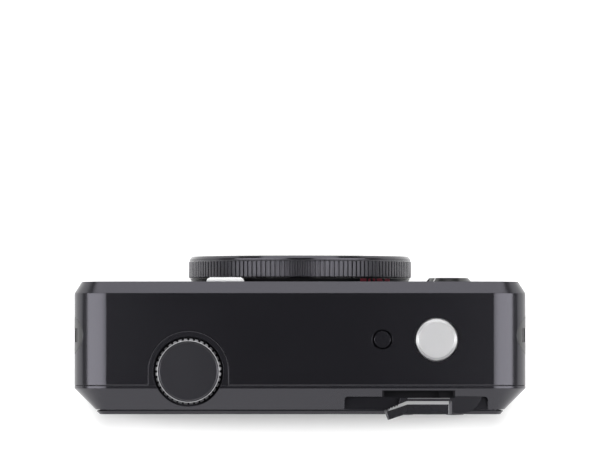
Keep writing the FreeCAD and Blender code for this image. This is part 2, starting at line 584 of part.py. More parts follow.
def lens_glass(label, radius, back, thick, bulge):
    """A lens element: a disc whose front is a shallow dome."""
    body = new_body(label, BARREL, "forward")
    sketch = sketch_on(body, "front")
    edge, crown = measure(f"{back} + {thick} - {bulge}"), measure(f"{back} + {thick}")
    reach = measure(radius)
    ball = (reach ** 2 + measure(bulge) ** 2) / (2 * measure(bulge))
    middle = Vector(reach / 2, crown - ball + math.sqrt(ball ** 2 - reach ** 2 / 4), 0)
    arc = Part.Arc(Vector(reach, edge, 0), middle, Vector(0, crown, 0))
    dome = sketch.addGeometry(arc, False)
    corners = [Vector(0, crown, 0), Vector(0, measure(back), 0),
               Vector(reach, measure(back), 0), Vector(reach, edge, 0)]
    lines = [sketch.addGeometry(Part.LineSegment(a, b), False)
             for a, b in zip(corners, corners[1:])]
    for first, second in zip(lines, lines[1:]):
        sketch.addConstraint(Sketcher.Constraint("Coincident", first, 2, second, 1))
    top_end = 2 if (sketch.Geometry[dome].EndPoint - corners[0]).Length < 1e-6 else 1
    sketch.addConstraint(Sketcher.Constraint("Coincident", dome, top_end, lines[0], 1))
    sketch.addConstraint(Sketcher.Constraint("Coincident", lines[2], 2, dome, 3 - top_end))
    hold_point(sketch, lines[0], 1, ("0", f"{back} + {thick}"))
    hold_point(sketch, lines[1], 1, ("0", back))
    hold_point(sketch, lines[2], 1, (radius, back))
    hold_point(sketch, lines[2], 2, (radius, f"{back} + {thick} - {bulge}"))
    sketch.addConstraint(Sketcher.Constraint("DistanceX", -1, 1, dome, 3, 0.0))
    spin = body.newObject("PartDesign::Revolution", "spin")
    spin.Profile = sketch
    spin.ReferenceAxis = (sketch, ["V_Axis"])
    spin.Angle = 360


lens_glass("front_glass", "barrel_bore - fit", "barrel_front - front_glass_thick",
           "front_glass_thick", "front_dome")
lens_glass("rear_glass", "rear_glass_radius - fit", "rear_glass_y", "rear_glass_thick", "rear_dome")
block("image_sensor", "-6", "6", "plate_y + plate_thick + board_thick",
      "barrel_back - fit", "lens_z - 5", "lens_z + 5")

# ---------------------------------------------------------------- flash
flash = new_body("flash_window")
lens_plate = sketch_on(flash, "front", "face_y + flash_proud")
rounded(lens_plate, "flash_x - flash_width / 2 + fit", "flash_x + flash_width / 2 - fit",
        "flash_z - flash_height / 2 + fit", "flash_z + flash_height / 2 - fit",
        "flash_corner - fit")
pad(lens_plate, "flash_proud + flash_thick", "back")
dress(flash, "Fillet", lambda e: level_at(e, "Y", "face_y + flash_proud"),
      Radius="flash_proud - 0.1")
reflector = new_body("flash_reflector")
DISH_FRONT = "(face_y - flash_thick - fit)"
dish = sketch_on(reflector, "side", "flash_x - flash_width / 2 + 1")
outline(dish, [(DISH_FRONT, "flash_z - dish_mouth"), (DISH_FRONT, "flash_z + dish_mouth"),
               (f"{DISH_FRONT} - dish_deep", "flash_z + dish_back"),
               (f"{DISH_FRONT} - dish_deep", "flash_z - dish_back")])
pad(dish, "flash_width - 2", "right")
tube_room = sketch_on(reflector, "side", "flash_x - flash_width / 2 + 1 + dish_skin")
outline(tube_room, [(f"{DISH_FRONT} + 1", "flash_z - dish_mouth + dish_skin"),
                    (f"{DISH_FRONT} + 1", "flash_z + dish_mouth - dish_skin"),
                    (f"{DISH_FRONT} - dish_deep + dish_skin", "flash_z + dish_back - dish_skin"),
                    (f"{DISH_FRONT} - dish_deep + dish_skin", "flash_z - dish_back + dish_skin")])
cut(tube_room, "flash_width - 2 - 2 * dish_skin", "right")
rod("flash_tube", ("flash_x - flash_width / 2 + 1 + dish_skin + fit", f"{DISH_FRONT} - 3",
                   "flash_z"), "tube_radius", "flash_width - 2 - 2 * dish_skin - 2 * fit",
    "right")
rod("flash_capacitor", ("motor_x", "face_y - wall - seat - motor_radius",
                        "roller_low + motor_long + 2"), "motor_radius", "motor_long", "up")

# ---------------------------------------------------------------- front release and mirror
RELEASE = ("release_x", "face_y", "release_z")
turned("power_collar", [
    ("collar_bore", "-wall"), ("collar_radius", "-wall"), ("collar_radius", "0"),
    ("collar_top + 0.25", "collar_proud - 0.1"), ("collar_top", "collar_proud"),
    ("collar_bore + 0.3", "collar_proud"), ("collar_bore", "collar_proud - 0.3")],
    RELEASE, "forward")
turned("front_button", [
    ("0", "-wall - 1"), ("collar_bore + 0.9", "-wall - 1"),
    ("collar_bore + 0.9", "-wall - 0.15"), ("collar_bore - fit", "-wall - 0.15"),
    ("collar_bore - fit", "collar_proud - 0.4"), ("collar_bore - fit - 0.4", "collar_proud"),
    ("0", "collar_proud - 0.15")], RELEASE, "forward")
release_block = new_body("release_switch")
switch_case = sketch_on(release_block, "front", "face_y - wall - seat")
rounded(switch_case, "release_x - 7.4", "release_x + 7.4", "release_z - 7.4",
        "release_z + 7.4", "1.5")
pad(switch_case, "release_travel + 4.2", "back")
switch_cup = sketch_on(release_block, "front", "face_y - wall - seat")
circle(switch_cup, ("release_x", "release_z"), "collar_bore + 0.9 + seat")
cut(switch_cup, "1 - seat + release_travel + fit", "back")
turned("mirror", [("0", "-mirror_deep"), ("mirror_radius - fit", "-mirror_deep"),
                  ("mirror_radius - fit", "-0.35"), ("0", "-0.1")],
       ("release_x", "face_y", "mirror_z"), "forward")


def top_button(label, x, face, edge, rise, gap, travel):
    """A button in the top: a bevelled cap with a flange below the casing and a stem."""
    under = "-wall - 0.2"
    turned(label, [
        ("0", f"{under} - flange_thick - cap_depth - {travel}"),
        ("stem_radius", f"{under} - flange_thick - cap_depth - {travel}"),
        ("stem_radius", f"{under} - flange_thick"),
        (f"{edge} + flange_extra", f"{under} - flange_thick"),
        (f"{edge} + flange_extra", under), (edge, under), (edge, f"{rise} - 0.45"),
        (face, rise), ("0", rise)], (x, "top_button_y", "body_height"), "up")


top_button("shutter_button", "shutter_x", "shutter_face", "shutter_radius", "shutter_rise",
           "shutter_gap", "shutter_travel")
top_button("small_button", "small_x", "small_radius - 0.25", "small_radius", "small_rise",
           "small_gap", "small_travel")
SHELF = "(plate_top + plate_thick + board_thick)"
switches = [
    block(label, f"{x} - 3", f"{x} + 3", "top_button_y - 3", "top_button_y + 3", SHELF,
          f"body_height - wall - 0.2 - flange_thick - cap_depth - 2 * {travel} - 0.05",
          piece=False)
    for label, x, travel in (("shutter_switch", "shutter_x", "shutter_travel"),
                             ("small_switch", "small_x", "small_travel"))]
group("top_switches", switches)

# ---------------------------------------------------------------- dial
DIAL_TOP = "(body_height + land_rise)"
DIAL = ("dial_x", "dial_y", "body_height + land_rise")
dial = turned("dial", [
    ("0", "-land_thick - shaft_drop"), ("dial_shaft", "-land_thick - shaft_drop"),
    ("dial_shaft", "-dial_well_depth + fit"), ("dial_radius", "-dial_well_depth + fit"),
    ("dial_radius", "dial_rise - 0.35"), ("dial_top", "dial_rise"),
    ("dial_top - 0.5", "dial_rise"), ("dial_top - 0.7", "dial_rise - 0.12"),
    ("0", "dial_rise - 0.12")], DIAL, "up")
tooth_gap = sketch_on(dial, "top", "-dial_well_depth")
outline(tooth_gap, [("-0.42", "dial_radius + 0.2"), ("0.42", "dial_radius + 0.2"),
                    ("0.2", "dial_radius - 0.5"), ("-0.2", "dial_radius - 0.5")])
repeat(dial, cut(tooth_gap, "dial_well_depth + dial_rise", "up"), "teeth_count", "N_Axis")
turned("dial_bush", [
    ("dial_shaft + running", "-land_thick - bush_drop"),
    ("bush_radius + 1", "-land_thick - bush_drop"), ("bush_radius + 1", "-land_thick"),
    ("bush_radius", "-land_thick"), ("bush_radius", "-dial_well_depth"),
    ("dial_shaft + running", "-dial_well_depth")], DIAL, "up")
encoder = new_body("dial_encoder")
case = sketch_on(encoder, "top", f"{DIAL_TOP} - land_thick - bush_drop - 3")
rounded(case, "dial_x - 6", "dial_x + 6", "dial_y + 6 - 8.2", "dial_y + 6", "0.8")
circle(case, ("dial_x", "dial_y"), "dial_shaft + fit")
pad(case, "3", "up")

# ---------------------------------------------------------------- print lever
LEVER_LOW = "(pocket_floor + lever_lift)"
lever = new_body("print_lever", ("hub_x", "-hub_y", LEVER_LOW))
hub = sketch_on(lever, "top")
circle(hub, ("0", "0"), "hub_radius")
pad(hub, "hub_thick", "up")


def from_hub(*corners):
    """Corners given from the camera's axis and how far back, moved to the lever's pin."""
    return [(f"{x} - hub_x", f"hub_y - ({back})") for x, back in corners]


ledge = sketch_on(lever, "top")
outline(ledge, from_hub(("ledge_left", "ledge_front"), ("ledge_left - 0.5", "arm_front + 1.2"),
                        ("ledge_left", "arm_front + 2"), ("ledge_right + 0.5", "arm_front + 2"),
                        ("ledge_right + 0.5", "ledge_front + 0.6"), ("ledge_right", "ledge_front")))
pad(ledge, "ledge_thick", "up")


def grip_outline(level, inset):
    """The arm and bent finger seen from above, set in at the front, the tip and the end."""
    sketch = sketch_on(lever, "top", level)
    outline(sketch, from_hub(
        (f"arm_right - {inset}", f"arm_front + {inset}"), (f"arm_right - {inset}", "arm_rear"),
        ("arm_bend - 0.4", "arm_rear"), (f"tip_end + {inset} / 3", f"tip_rear - {inset} / 7"),
        (f"tip_x + {inset} * 0.9", f"tip_front + {inset} / 3"),
        (f"arm_bend + {inset} / 5", f"arm_front + {inset}")))
    return sketch


grip = grip_outline("0", "0")
pad(grip, "lever_thick - grip_bevel_drop", "up")
# The bevel looks forward along the arm, round the bent finger and down over both ends.
bevel = lever.newObject("PartDesign::AdditiveLoft", "bevel")
bevel.Profile = grip_outline("lever_thick - grip_bevel_drop", "0")
bevel.Sections = [grip_outline("lever_thick", "grip_bevel")]
bevel.Ruled = True
# Nicks along the front of the finger give the nail a hold.
lean = f"atan((tip_front - arm_front) / (arm_bend - tip_x - 0.2))"
for number in range(int(measure("serration_count"))):
    nick = sketch_on(lever, "top")
    away = f"(({number} + 0.7) * serration_step)"
    foot = (f"tip_x + 0.2 + {away} * cos({lean})", f"tip_front - {away} * sin({lean})")
    outline(nick, from_hub(
        (f"{foot[0]} - serration_step / 2", f"{foot[1]} - serration_depth"),
        (f"{foot[0]} + serration_step / 2", f"{foot[1]} - serration_depth"),
        (f"{foot[0]} + 0.1", f"{foot[1]} + serration_depth")))
    cut(nick, "lever_thick", "up")
lever_hole = sketch_on(lever, "top")
circle(lever_hole, ("0", "0"), "lever_pin + running")
cut(lever_hole, "lever_thick", "up")
steel_pins.append(rod("lever_pin", ("hub_x", "-hub_y", "pocket_floor - 4"), "lever_pin",
                      "pin_top + 4 - pocket_floor", "up", piece=False))
SPRING_LOW = "(pocket_floor - seat_thick - fit - spring_wire - spring_tall)"
coil = doc.addObject("Part::Helix", "lever_spring_path")
place(coil, ("hub_x", "-hub_y", SPRING_LOW), "up")
bind(coil, Radius="lever_pin + fit + spring_wire", Height="spring_tall",
     Pitch="spring_tall / spring_turns")
wire_end = doc.addObject("Part::RegularPolygon", "lever_spring_wire")
wire_end.Polygon = 4
place(wire_end, ("hub_x + lever_pin + fit + spring_wire", "-hub_y", SPRING_LOW), "back")
bind(wire_end, Circumradius="spring_wire")
spring = doc.addObject("Part::Sweep", "lever_spring_coil")
spring.Sections = [wire_end]
spring.Spine = (coil, ["Edge1"])
spring.Solid, spring.Frenet = True, True
keep(spring, "lever_spring")

# ---------------------------------------------------------------- strap lugs
envelope = new_body("lug_envelope", piece=False)
slab = sketch_on(envelope, "front", "face_y")
shell_outline(slab, "0", "corner_radius")
pad(slab, "front_depth", "back")
lugs, bars = [], []
for name, way, sign in (("left", "right", "-"), ("right", "left", "")):
    disc = doc.addObject("Part::Cylinder", f"lug_disc_{name}")
    place(disc, (f"{sign}{SIDE}", "lug_y", LUG_Z), way)
    bind(disc, Radius="lug_radius", Height="lug_depth - fit")
    eye = block(f"lug_eye_{name}", f"{sign}{SIDE} - lug_dish", f"{sign}{SIDE} + lug_dish",
                "lug_y - lug_eye", "lug_y + lug_eye", f"{LUG_Z} - lug_eye_tall / 2",
                f"{LUG_Z} + lug_eye_tall / 2", piece=False)
    flush_disc = doc.addObject("Part::Common", f"lug_flush_{name}")
    flush_disc.Base, flush_disc.Tool = disc, envelope
    lug = doc.addObject("Part::Cut", f"lug_cut_{name}")
    lug.Base, lug.Tool = flush_disc, eye
    lugs.append(lug)
    bar_x = f"{sign}({SIDE} - strap_bar - 0.5)"
    bars.append(rod(f"strap_bar_{name}", (bar_x, "lug_y - lug_eye", LUG_Z), "strap_bar",
                    "2 * lug_eye", "forward", piece=False))
group("strap_lugs", lugs)
group("strap_bars", bars)

# ---------------------------------------------------------------- film path
pack = new_body("film_pack")
PACK_RIGHT = "(pack_left + pack_length)"
PACK_LOW, PACK_HIGH = "(body_height / 2 - pack_width / 2)", "(body_height / 2 + pack_width / 2)"
cassette = sketch_on(pack, "front", "pack_front")
rounded(cassette, "pack_left", PACK_RIGHT, PACK_LOW, PACK_HIGH, "1.5")
pad(cassette, "pack_thick", "back")
gate = sketch_on(pack, "front", "pack_front")
rounded(gate, "pack_left + 10", f"{PACK_RIGHT} - 12", f"{PACK_LOW} + 5", f"{PACK_HIGH} - 5", "1")
cut(gate, "0.9", "back")
backing = sketch_on(pack, "front", "pack_front - pack_thick")
for low_side in (f"{PACK_LOW} + 10", f"{PACK_HIGH} - 22"):
    rounded(backing, "pack_left + 28", f"{PACK_RIGHT} - 28", low_side, f"{low_side} + 12", "1.5")
cut(backing, "0.9", "forward")
block("pressure_spring", "pack_left + 30", f"{PACK_RIGHT} - 30", f"{DOOR_IN} + door_plug",
      "pack_front - pack_thick - 0.1", f"{PACK_LOW} + 24", f"{PACK_HIGH} - 24")
block("print_head", "pack_left - 4.4", "pack_left - 0.4", "film_y + 0.4", "0.4",
      "body_height / 2 - 28", "body_height / 2 + 28")

DRIVE_Y = "(film_y + film_nip + roller_radius)"
PINCH_Y = "(film_y - film_nip - roller_radius)"
CHEEK_LOW = "(roller_low - cheek_thick - fit)"
GEAR_LOW = "(roller_low - cheek_thick - 2 * fit - gear_thick)"


def gear_radius(teeth):
    return f"(gear_module * {teeth} / 2)"


def roller(label, y):
    turned(label, [
        ("0", "-cheek_thick - 2 * fit - gear_thick"),
        ("axle_radius", "-cheek_thick - 2 * fit - gear_thick"), ("axle_radius", "0"),
        ("roller_radius", "0"), ("roller_radius", "roller_high - roller_low"),
        ("axle_radius", "roller_high - roller_low"),
        ("axle_radius", "roller_high - roller_low + cheek_thick"),
        ("0", "roller_high - roller_low + cheek_thick")], ("roller_x", y, "roller_low"), "up")


def gear(label, teeth, x, y, bore, phase):
    """A small spur gear: a root disc with tapered teeth set round it."""
    pitch = gear_radius(teeth)
    body = new_body(label, (x, y, GEAR_LOW))
    body.Placement = Placement(body.Placement.Base, Rotation(Vector(0, 0, 1), phase))
    root = f"({pitch} - 1.15 * gear_module)"
    hub_sketch = sketch_on(body, "top")
    circle(hub_sketch, ("0", "0"), root)
    circle(hub_sketch, ("0", "0"), bore)
    pad(hub_sketch, "gear_thick", "up")
    tooth = sketch_on(body, "top")
    outline(tooth, [(f"{root} - 0.2", "-gear_module"),
                    (f"{pitch} + 0.8 * gear_module", "-0.4 * gear_module"),
                    (f"{pitch} + 0.8 * gear_module", "0.4 * gear_module"),
                    (f"{root} - 0.2", "gear_module")])
    doc.recompute()
    repeat(body, pad(tooth, "gear_thick", "up"), teeth, "N_Axis")


roller("drive_roller", DRIVE_Y)
roller("pinch_roller", PINCH_Y)


def span(first, second):
    """The distance between the axes of two meshed gears."""
    return f"({gear_radius(first)} + {gear_radius(second)})"


# The idler meshes with the roller gear and the motor pinion: its axis closes a triangle.
TO_X, TO_Y = "(motor_x - roller_x)", f"(motor_y - {DRIVE_Y})"
REACH = f"sqrt({TO_X} ^ 2 + {TO_Y} ^ 2)"
NEAR, FAR = span("roller_teeth", "idler_teeth"), span("idler_teeth", "pinion_teeth")
LEAN = f"(({NEAR} ^ 2 + {REACH} ^ 2 - {FAR} ^ 2) / (2 * {NEAR} * {REACH}))"
RISE = f"sqrt(1 - {LEAN} ^ 2)"
IDLER_X = f"(roller_x + {NEAR} / {REACH} * ({TO_X} * {LEAN} + {TO_Y} * {RISE}))"
IDLER_Y = f"({DRIVE_Y} + {NEAR} / {REACH} * ({TO_Y} * {LEAN} - {TO_X} * {RISE}))"


def meshed_phase(phase, teeth, here, other_teeth, there):
    """The turn at which a gear's tooth gap meets a tooth of the gear that drives it."""
    toward = math.degrees(math.atan2(there[1] - here[1], there[0] - here[0]))
    return (toward + 180 + 180 / other_teeth - (phase - toward) * teeth / other_teeth)


drive_at = (measure("roller_x"), measure(DRIVE_Y))
pinch_at = (measure("roller_x"), measure(PINCH_Y))
idler_at = (measure(IDLER_X), measure(IDLER_Y))
motor_at = (measure("motor_x"), measure("motor_y"))
roller_teeth, idler_teeth = measure("roller_teeth"), measure("idler_teeth")
idler_phase = meshed_phase(0, roller_teeth, drive_at, idler_teeth, idler_at)
gear("drive_gear", "roller_teeth", "roller_x", DRIVE_Y, "axle_radius", 0)
gear("pinch_gear", "roller_teeth", "roller_x", PINCH_Y, "axle_radius",
     meshed_phase(0, roller_teeth, drive_at, roller_teeth, pinch_at))
gear("idler_gear", "idler_teeth", IDLER_X, IDLER_Y, "axle_radius + running", idler_phase)
gear("motor_pinion", "pinion_teeth", "motor_x", "motor_y", "axle_radius",
     meshed_phase(idler_phase, idler_teeth, idler_at, measure("pinion_teeth"), motor_at))
steel_pins.append(rod("idler_pin", (IDLER_X, IDLER_Y, f"{GEAR_LOW} - 0.2"), "axle_radius",
                      "gear_thick + cheek_thick + fit + 0.2", "up", piece=False))
rod("motor_shaft", ("motor_x", "motor_y", GEAR_LOW), "axle_radius", "gear_thick + fit + 0.6",
    "up")
motor = turned("motor", [
    ("axle_radius + running", "0.5"), ("axle_radius + 1.5", "0.5"), ("axle_radius + 1.5", "0"),
    ("motor_radius - 0.6", "0"), ("motor_radius", "0.6"), ("motor_radius", "motor_long - 0.6"),
    ("motor_radius - 0.6", "motor_long"), ("0", "motor_long"), ("0", "3"),
    ("axle_radius + running", "3")], ("motor_x", "motor_y", f"{CHEEK_LOW} + cheek_thick"), "up")

frame = new_body("roller_frame")
lower = sketch_on(frame, "top", CHEEK_LOW)
FRAME_LEFT, FRAME_BACK = "roller_x - 5.2", f"{PINCH_Y} - 4"
outline(lower, [(FRAME_LEFT, FRAME_BACK), ("frame_right - 6", FRAME_BACK),
                ("frame_right", "plate_y - 1"), ("frame_right", "motor_y + motor_radius"),
                ("motor_x - motor_radius", "motor_y + motor_radius"), (FRAME_LEFT, "5")])
for at in (("roller_x", DRIVE_Y), ("roller_x", PINCH_Y)):
    circle(lower, at, "axle_radius + running")
circle(lower, (IDLER_X, IDLER_Y), "axle_radius")
circle(lower, ("motor_x", "motor_y"), "axle_radius + 1")
pad(lower, "cheek_thick", "up")
web = sketch_on(frame, "top", CHEEK_LOW)
outline(web, [(FRAME_LEFT, "web_front - cheek_thick"),
              ("roller_x - 1", "web_front - cheek_thick"), ("roller_x - 1", "web_front"),
              (FRAME_LEFT, "web_front")])
pad(web, "roller_high - roller_low + 2 * cheek_thick + 2 * fit", "up")
upper = sketch_on(frame, "top", "roller_high + fit")
outline(upper, [(FRAME_LEFT, FRAME_BACK), ("roller_x + web_front", FRAME_BACK),
                ("roller_x + web_front", "web_front"), (FRAME_LEFT, "web_front")])
for at in (("roller_x", DRIVE_Y), ("roller_x", PINCH_Y)):
    circle(upper, at, "axle_radius + running")
pad(upper, "cheek_thick", "up")

# ---------------------------------------------------------------- inside the casing
chassis = new_body("chassis")
PLATE_FRONT = "(plate_y + plate_thick)"
plate = sketch_on(chassis, "front", "plate_y")
outline(plate, [("frame_right", f"{CHEEK_LOW}"), ("frame_right", "plate_top + plate_thick"),
                (f"{SIDE} - wall - seat", "plate_top + plate_thick"),
                (f"{SIDE} - wall - seat", "corner_radius"),
                (f"{SIDE} - corner_radius", "wall + seat"),
                ("boss_radius + seat", "wall + seat"),
                ("boss_radius + seat", "bush_height + seat"),
                ("-boss_radius - seat", "bush_height + seat"),
                ("-boss_radius - seat", "wall + seat"), ("frame_right", "wall + seat")])
pad(plate, "plate_thick", "forward")
shelf = sketch_on(chassis, "top", "plate_top")
outline(shelf, [("shelf_left", PLATE_FRONT), ("shelf_right", PLATE_FRONT),
                ("shelf_right", "shelf_deep"), ("shelf_left", "shelf_deep")])
pad(shelf, "plate_thick", "up")
BOARD_FRONT = "(plate_y + plate_thick + board_thick)"
board = new_body("main_board")
card = sketch_on(board, "front", PLATE_FRONT)
rounded(card, "frame_right + 0.5", f"{SIDE} - wall - 3", "bush_height + 1",
        "plate_top - 4", "1")
for x in ("frame_right + 4", f"{SIDE} - wall - 7"):
    for z in ("bush_height + 5", "plate_top - 8"):
        circle(card, (x, z), "1.1")
pad(card, "board_thick", "forward")
block("top_board", "shelf_left + 1", "shelf_right - 1", f"{PLATE_FRONT} + fit", "shelf_deep - 0.5",
      "plate_top + plate_thick", SHELF)
cell = new_body("battery")
cell_face = sketch_on(cell, "front", f"{BOARD_FRONT} + seat")
rounded(cell_face, "cell_left", "cell_left + cell_width", "wall + 4",
        "wall + 4 + cell_tall", "1.5")
pad(cell_face, "cell_thick", "forward")
usb = new_body("usb_socket")
usb_end = sketch_on(usb, "side", f"{SIDE} - wall - usb_long")
USB_LOW, USB_HIGH = "(port_z + usb_rise)", "(port_z + usb_rise + usb_tall)"
rounded(usb_end, BOARD_FRONT, f"{BOARD_FRONT} + usb_thick", USB_LOW, USB_HIGH,
        "usb_thick / 2 - 0.05")
pad(usb_end, "usb_long", "right")
usb_mouth = sketch_on(usb, "side", f"{SIDE} - wall")
rounded(usb_mouth, f"{BOARD_FRONT} + usb_skin", f"{BOARD_FRONT} + usb_thick - usb_skin",
        f"{USB_LOW} + usb_skin", f"{USB_HIGH} - usb_skin", "usb_thick / 2 - usb_skin - 0.05")
cut(usb_mouth, "usb_long - 2", "left")
card_socket = new_body("card_socket")
card_end = sketch_on(card_socket, "side", f"{SIDE} - wall - card_long")
CARD_LOW, CARD_HIGH = "(port_z + card_rise)", "(port_z + card_rise + card_tall)"
rounded(card_end, BOARD_FRONT, f"{BOARD_FRONT} + card_thick", CARD_LOW, CARD_HIGH, "card_skin")
pad(card_end, "card_long", "right")
card_mouth = sketch_on(card_socket, "side", f"{SIDE} - wall")
rounded(card_mouth, f"{BOARD_FRONT} + card_skin", f"{BOARD_FRONT} + card_thick - card_skin",
        f"{CARD_LOW} + card_skin", f"{CARD_HIGH} - card_skin", "card_skin / 2")
cut(card_mouth, "card_long - 2", "left")

# ---------------------------------------------------------------- port door and base
flap = new_body("port_door")
flap_face = sketch_on(flap, "side", f"{SIDE} - port_thick")
rounded(flap_face, "-port_wide / 2 + fit", "port_wide / 2 - fit", "port_z + fit",
        "port_z + port_tall - fit", "0.2")
pad(flap_face, "port_thick", "right")
dress(flap, "Fillet", lambda e: level_at(e, "Z", "port_z + fit") and e.BoundBox.YLength > 2,
      Radius="port_thick / 2 - 0.01")
flap_pull = sketch_on(flap, "side", SIDE)
rounded(flap_pull, "-2.5", "2.5", "port_z + port_tall - 2", "port_z + port_tall - 1", "0.45")
cut(flap_pull, "0.5", "left")
flap_bore = sketch_on(flap, "front", "port_wide / 2")
circle(flap_bore, PORT_AXIS, "port_pin + running")
cut(flap_bore, "port_wide", "back")
steel_pins.append(rod("port_hinge_pin", (PORT_AXIS[0], "-port_wide / 2 - 1.5", PORT_AXIS[1]),
                      "port_pin", "port_wide + 3", "forward", piece=False))
group("steel_pins", steel_pins)
turned("tripod_bush", [
    ("thread_radius", "0"), ("tripod_radius - fit / 2", "0"),
    ("tripod_radius - fit / 2", "bush_height - flange_height"),
    ("tripod_flange", "bush_height - flange_height"), ("tripod_flange", "bush_height"),
    ("0", "bush_height"), ("0", "thread_depth"), ("thread_radius", "thread_depth")])

# ---------------------------------------------------------------- checks and files
doc.recompute()
for item in doc.Objects:
    if "Invalid" in item.State or "Error" in item.State:
        raise RuntimeError(f"{item.Name} ({item.Label}) failed: {item.State}")
for item in pieces:
    if item.Shape.isNull() or not item.Shape.isValid() or not item.Shape.Solids:
        raise RuntimeError(f"{item.Label} has no valid solid")
    item.Shape.exportStep(f"parts/{item.Label}.step")
    print(item.Label, len(item.Shape.Solids), round(item.Shape.Volume, 2))
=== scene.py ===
import bpy
from math import atan2, cos, pi, radians, sin
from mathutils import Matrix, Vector


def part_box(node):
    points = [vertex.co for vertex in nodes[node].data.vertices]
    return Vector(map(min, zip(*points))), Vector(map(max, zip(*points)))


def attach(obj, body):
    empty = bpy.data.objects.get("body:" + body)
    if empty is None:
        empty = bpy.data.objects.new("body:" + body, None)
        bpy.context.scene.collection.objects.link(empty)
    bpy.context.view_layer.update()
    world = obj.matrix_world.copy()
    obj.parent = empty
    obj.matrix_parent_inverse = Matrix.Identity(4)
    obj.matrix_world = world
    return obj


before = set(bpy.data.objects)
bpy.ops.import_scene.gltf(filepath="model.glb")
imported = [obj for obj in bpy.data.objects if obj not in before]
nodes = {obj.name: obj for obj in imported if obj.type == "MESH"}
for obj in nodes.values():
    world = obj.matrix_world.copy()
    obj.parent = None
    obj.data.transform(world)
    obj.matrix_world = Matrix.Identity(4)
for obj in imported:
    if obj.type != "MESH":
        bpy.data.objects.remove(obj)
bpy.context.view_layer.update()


# The casing: an upper shell and a rear shell, both moulded.
# The upper one is sprayed a satin grey-black and the rear one is moulded to match it;
# both faces are very finely grained and polish slightly on the edges, where their colour is also
# lightened, partly as wear and partly as a painted highlight.
def fill(tree, node, feeds):
    """Feeds the sockets of a shader node, each with another node's output or a plain value."""
    for socket, feed in feeds.items():
        if isinstance(feed, bpy.types.NodeSocket):
            tree.links.new(feed, node.inputs[socket])
        else:
            node.inputs[socket].default_value = feed
    return node


def added(tree, kind, feeds=None, **settings):
    """Adds a shader node of a kind, with its settings and what feeds its sockets."""
    node = tree.nodes.new("ShaderNode" + kind)
    for name, value in settings.items():
        setattr(node, name, value)
    return fill(tree, node, feeds or {})


def maths(tree, operation, *terms):
    """The output of a Math node."""
    return added(tree, "Math", dict(enumerate(terms)), operation=operation).outputs[0]


def vector_maths(tree, operation, *terms):
    """The output of a Vector Math node: a number for a length or dot product, else a vector."""
    node = added(tree, "VectorMath", dict(enumerate(terms)), operation=operation)
    return node.outputs["Value" if operation in ("LENGTH", "DOT_PRODUCT") else "Vector"]


def shade_group(name, outputs, inputs):
    """A shader node group: its tree, its given values and its result."""
    tree = bpy.data.node_groups.new(name, "ShaderNodeTree")
    for title, kind, value in inputs:
        socket = tree.interface.new_socket(title, in_out="INPUT", socket_type="NodeSocket" + kind)
        socket.default_value = value
    for title, kind in outputs:
        tree.interface.new_socket(title, in_out="OUTPUT", socket_type="NodeSocket" + kind)
    return tree, tree.nodes.new("NodeGroupInput").outputs, tree.nodes.new("NodeGroupOutput")


def grain_group():
    """Grain of a blasted or moulded surface: a fine speckle, a slow drift, a height."""
    tree, given, result = shade_group(
        "surface_grain",
        [("Speckle", "Float"), ("Drift", "Float"), ("Height", "Float")],
        [("Grain Scale", "Float", 6000.0), ("Drift Scale", "Float", 45.0)],
    )
    place = added(tree, "TexCoord").outputs["Object"]
    fine = added(tree, "TexNoise", {"Vector": place, "Scale": given["Grain Scale"],
                                    "Detail": 2.0, "Roughness": 0.6}).outputs["Fac"]
    slow = added(tree, "TexNoise", {"Vector": place, "Scale": given["Drift Scale"],
                                    "Detail": 3.0}).outputs["Fac"]
    fill(tree, result, {"Speckle": fine, "Drift": slow, "Height": fine})
    return tree


EDGE_SAMPLES = 4
ROUND_OVER, POLISH_REACH = 0.00022, 0.00030
FLAT_ALIKE, SHARP_ALIKE = 0.995, 0.93


def edge_group():
    """Where an edge runs: a mask of it, and a normal that rounds it over."""
    tree, given, result = shade_group(
        "edge_polish",
        [("Edge", "Float"), ("Normal", "Vector")],
        [("Grain Normal", "Vector", (0.0, 0.0, 0.0))],
    )
    rounded = added(tree, "Bevel", {"Radius": ROUND_OVER, "Normal": given["Grain Normal"]},
                    samples=EDGE_SAMPLES)
    wide = added(tree, "Bevel", {"Radius": POLISH_REACH}, samples=EDGE_SAMPLES)
    true_normal = added(tree, "NewGeometry").outputs["True Normal"]
    alike = vector_maths(tree, "DOT_PRODUCT", wide.outputs["Normal"], true_normal)
    edge = added(tree, "MapRange", {"Value": alike, "From Min": FLAT_ALIKE,
                                    "From Max": SHARP_ALIKE})
    fill(tree, result, {"Edge": edge.outputs["Result"], "Normal": rounded.outputs["Normal"]})
    return tree


def block_group():
    """A mask that is 1 inside a block about the origin of a turned and centred pattern."""
    tree, given, result = shade_group(
        "inside_block",
        [("Mask", "Float")],
        [("Vector", "Vector", (0.0, 0.0, 0.0)), ("Half Size", "Vector", (0.0, 0.0, 0.0))],
    )
    away = vector_maths(tree, "ABSOLUTE", given["Vector"])
    room = added(tree, "SeparateXYZ", {0: vector_maths(tree, "SUBTRACT", given["Half Size"], away)})
    least = maths(tree, "MINIMUM", room.outputs["X"], room.outputs["Y"])
    least = maths(tree, "MINIMUM", least, room.outputs["Z"])
    fill(tree, result, {"Mask": maths(tree, "GREATER_THAN", least, 0.0)})
    return tree


GRAIN = grain_group()
EDGE = edge_group()
BLOCK = block_group()
GRAIN_DEPTH = 0.00004
# How much edges are lightened in colour: partly wear, partly a painted highlight.
EDGE_WEAR_AND_HIGHLIGHT_GAIN, EDGE_WEAR_AND_HIGHLIGHT_LIFT = 2.5, 0.02


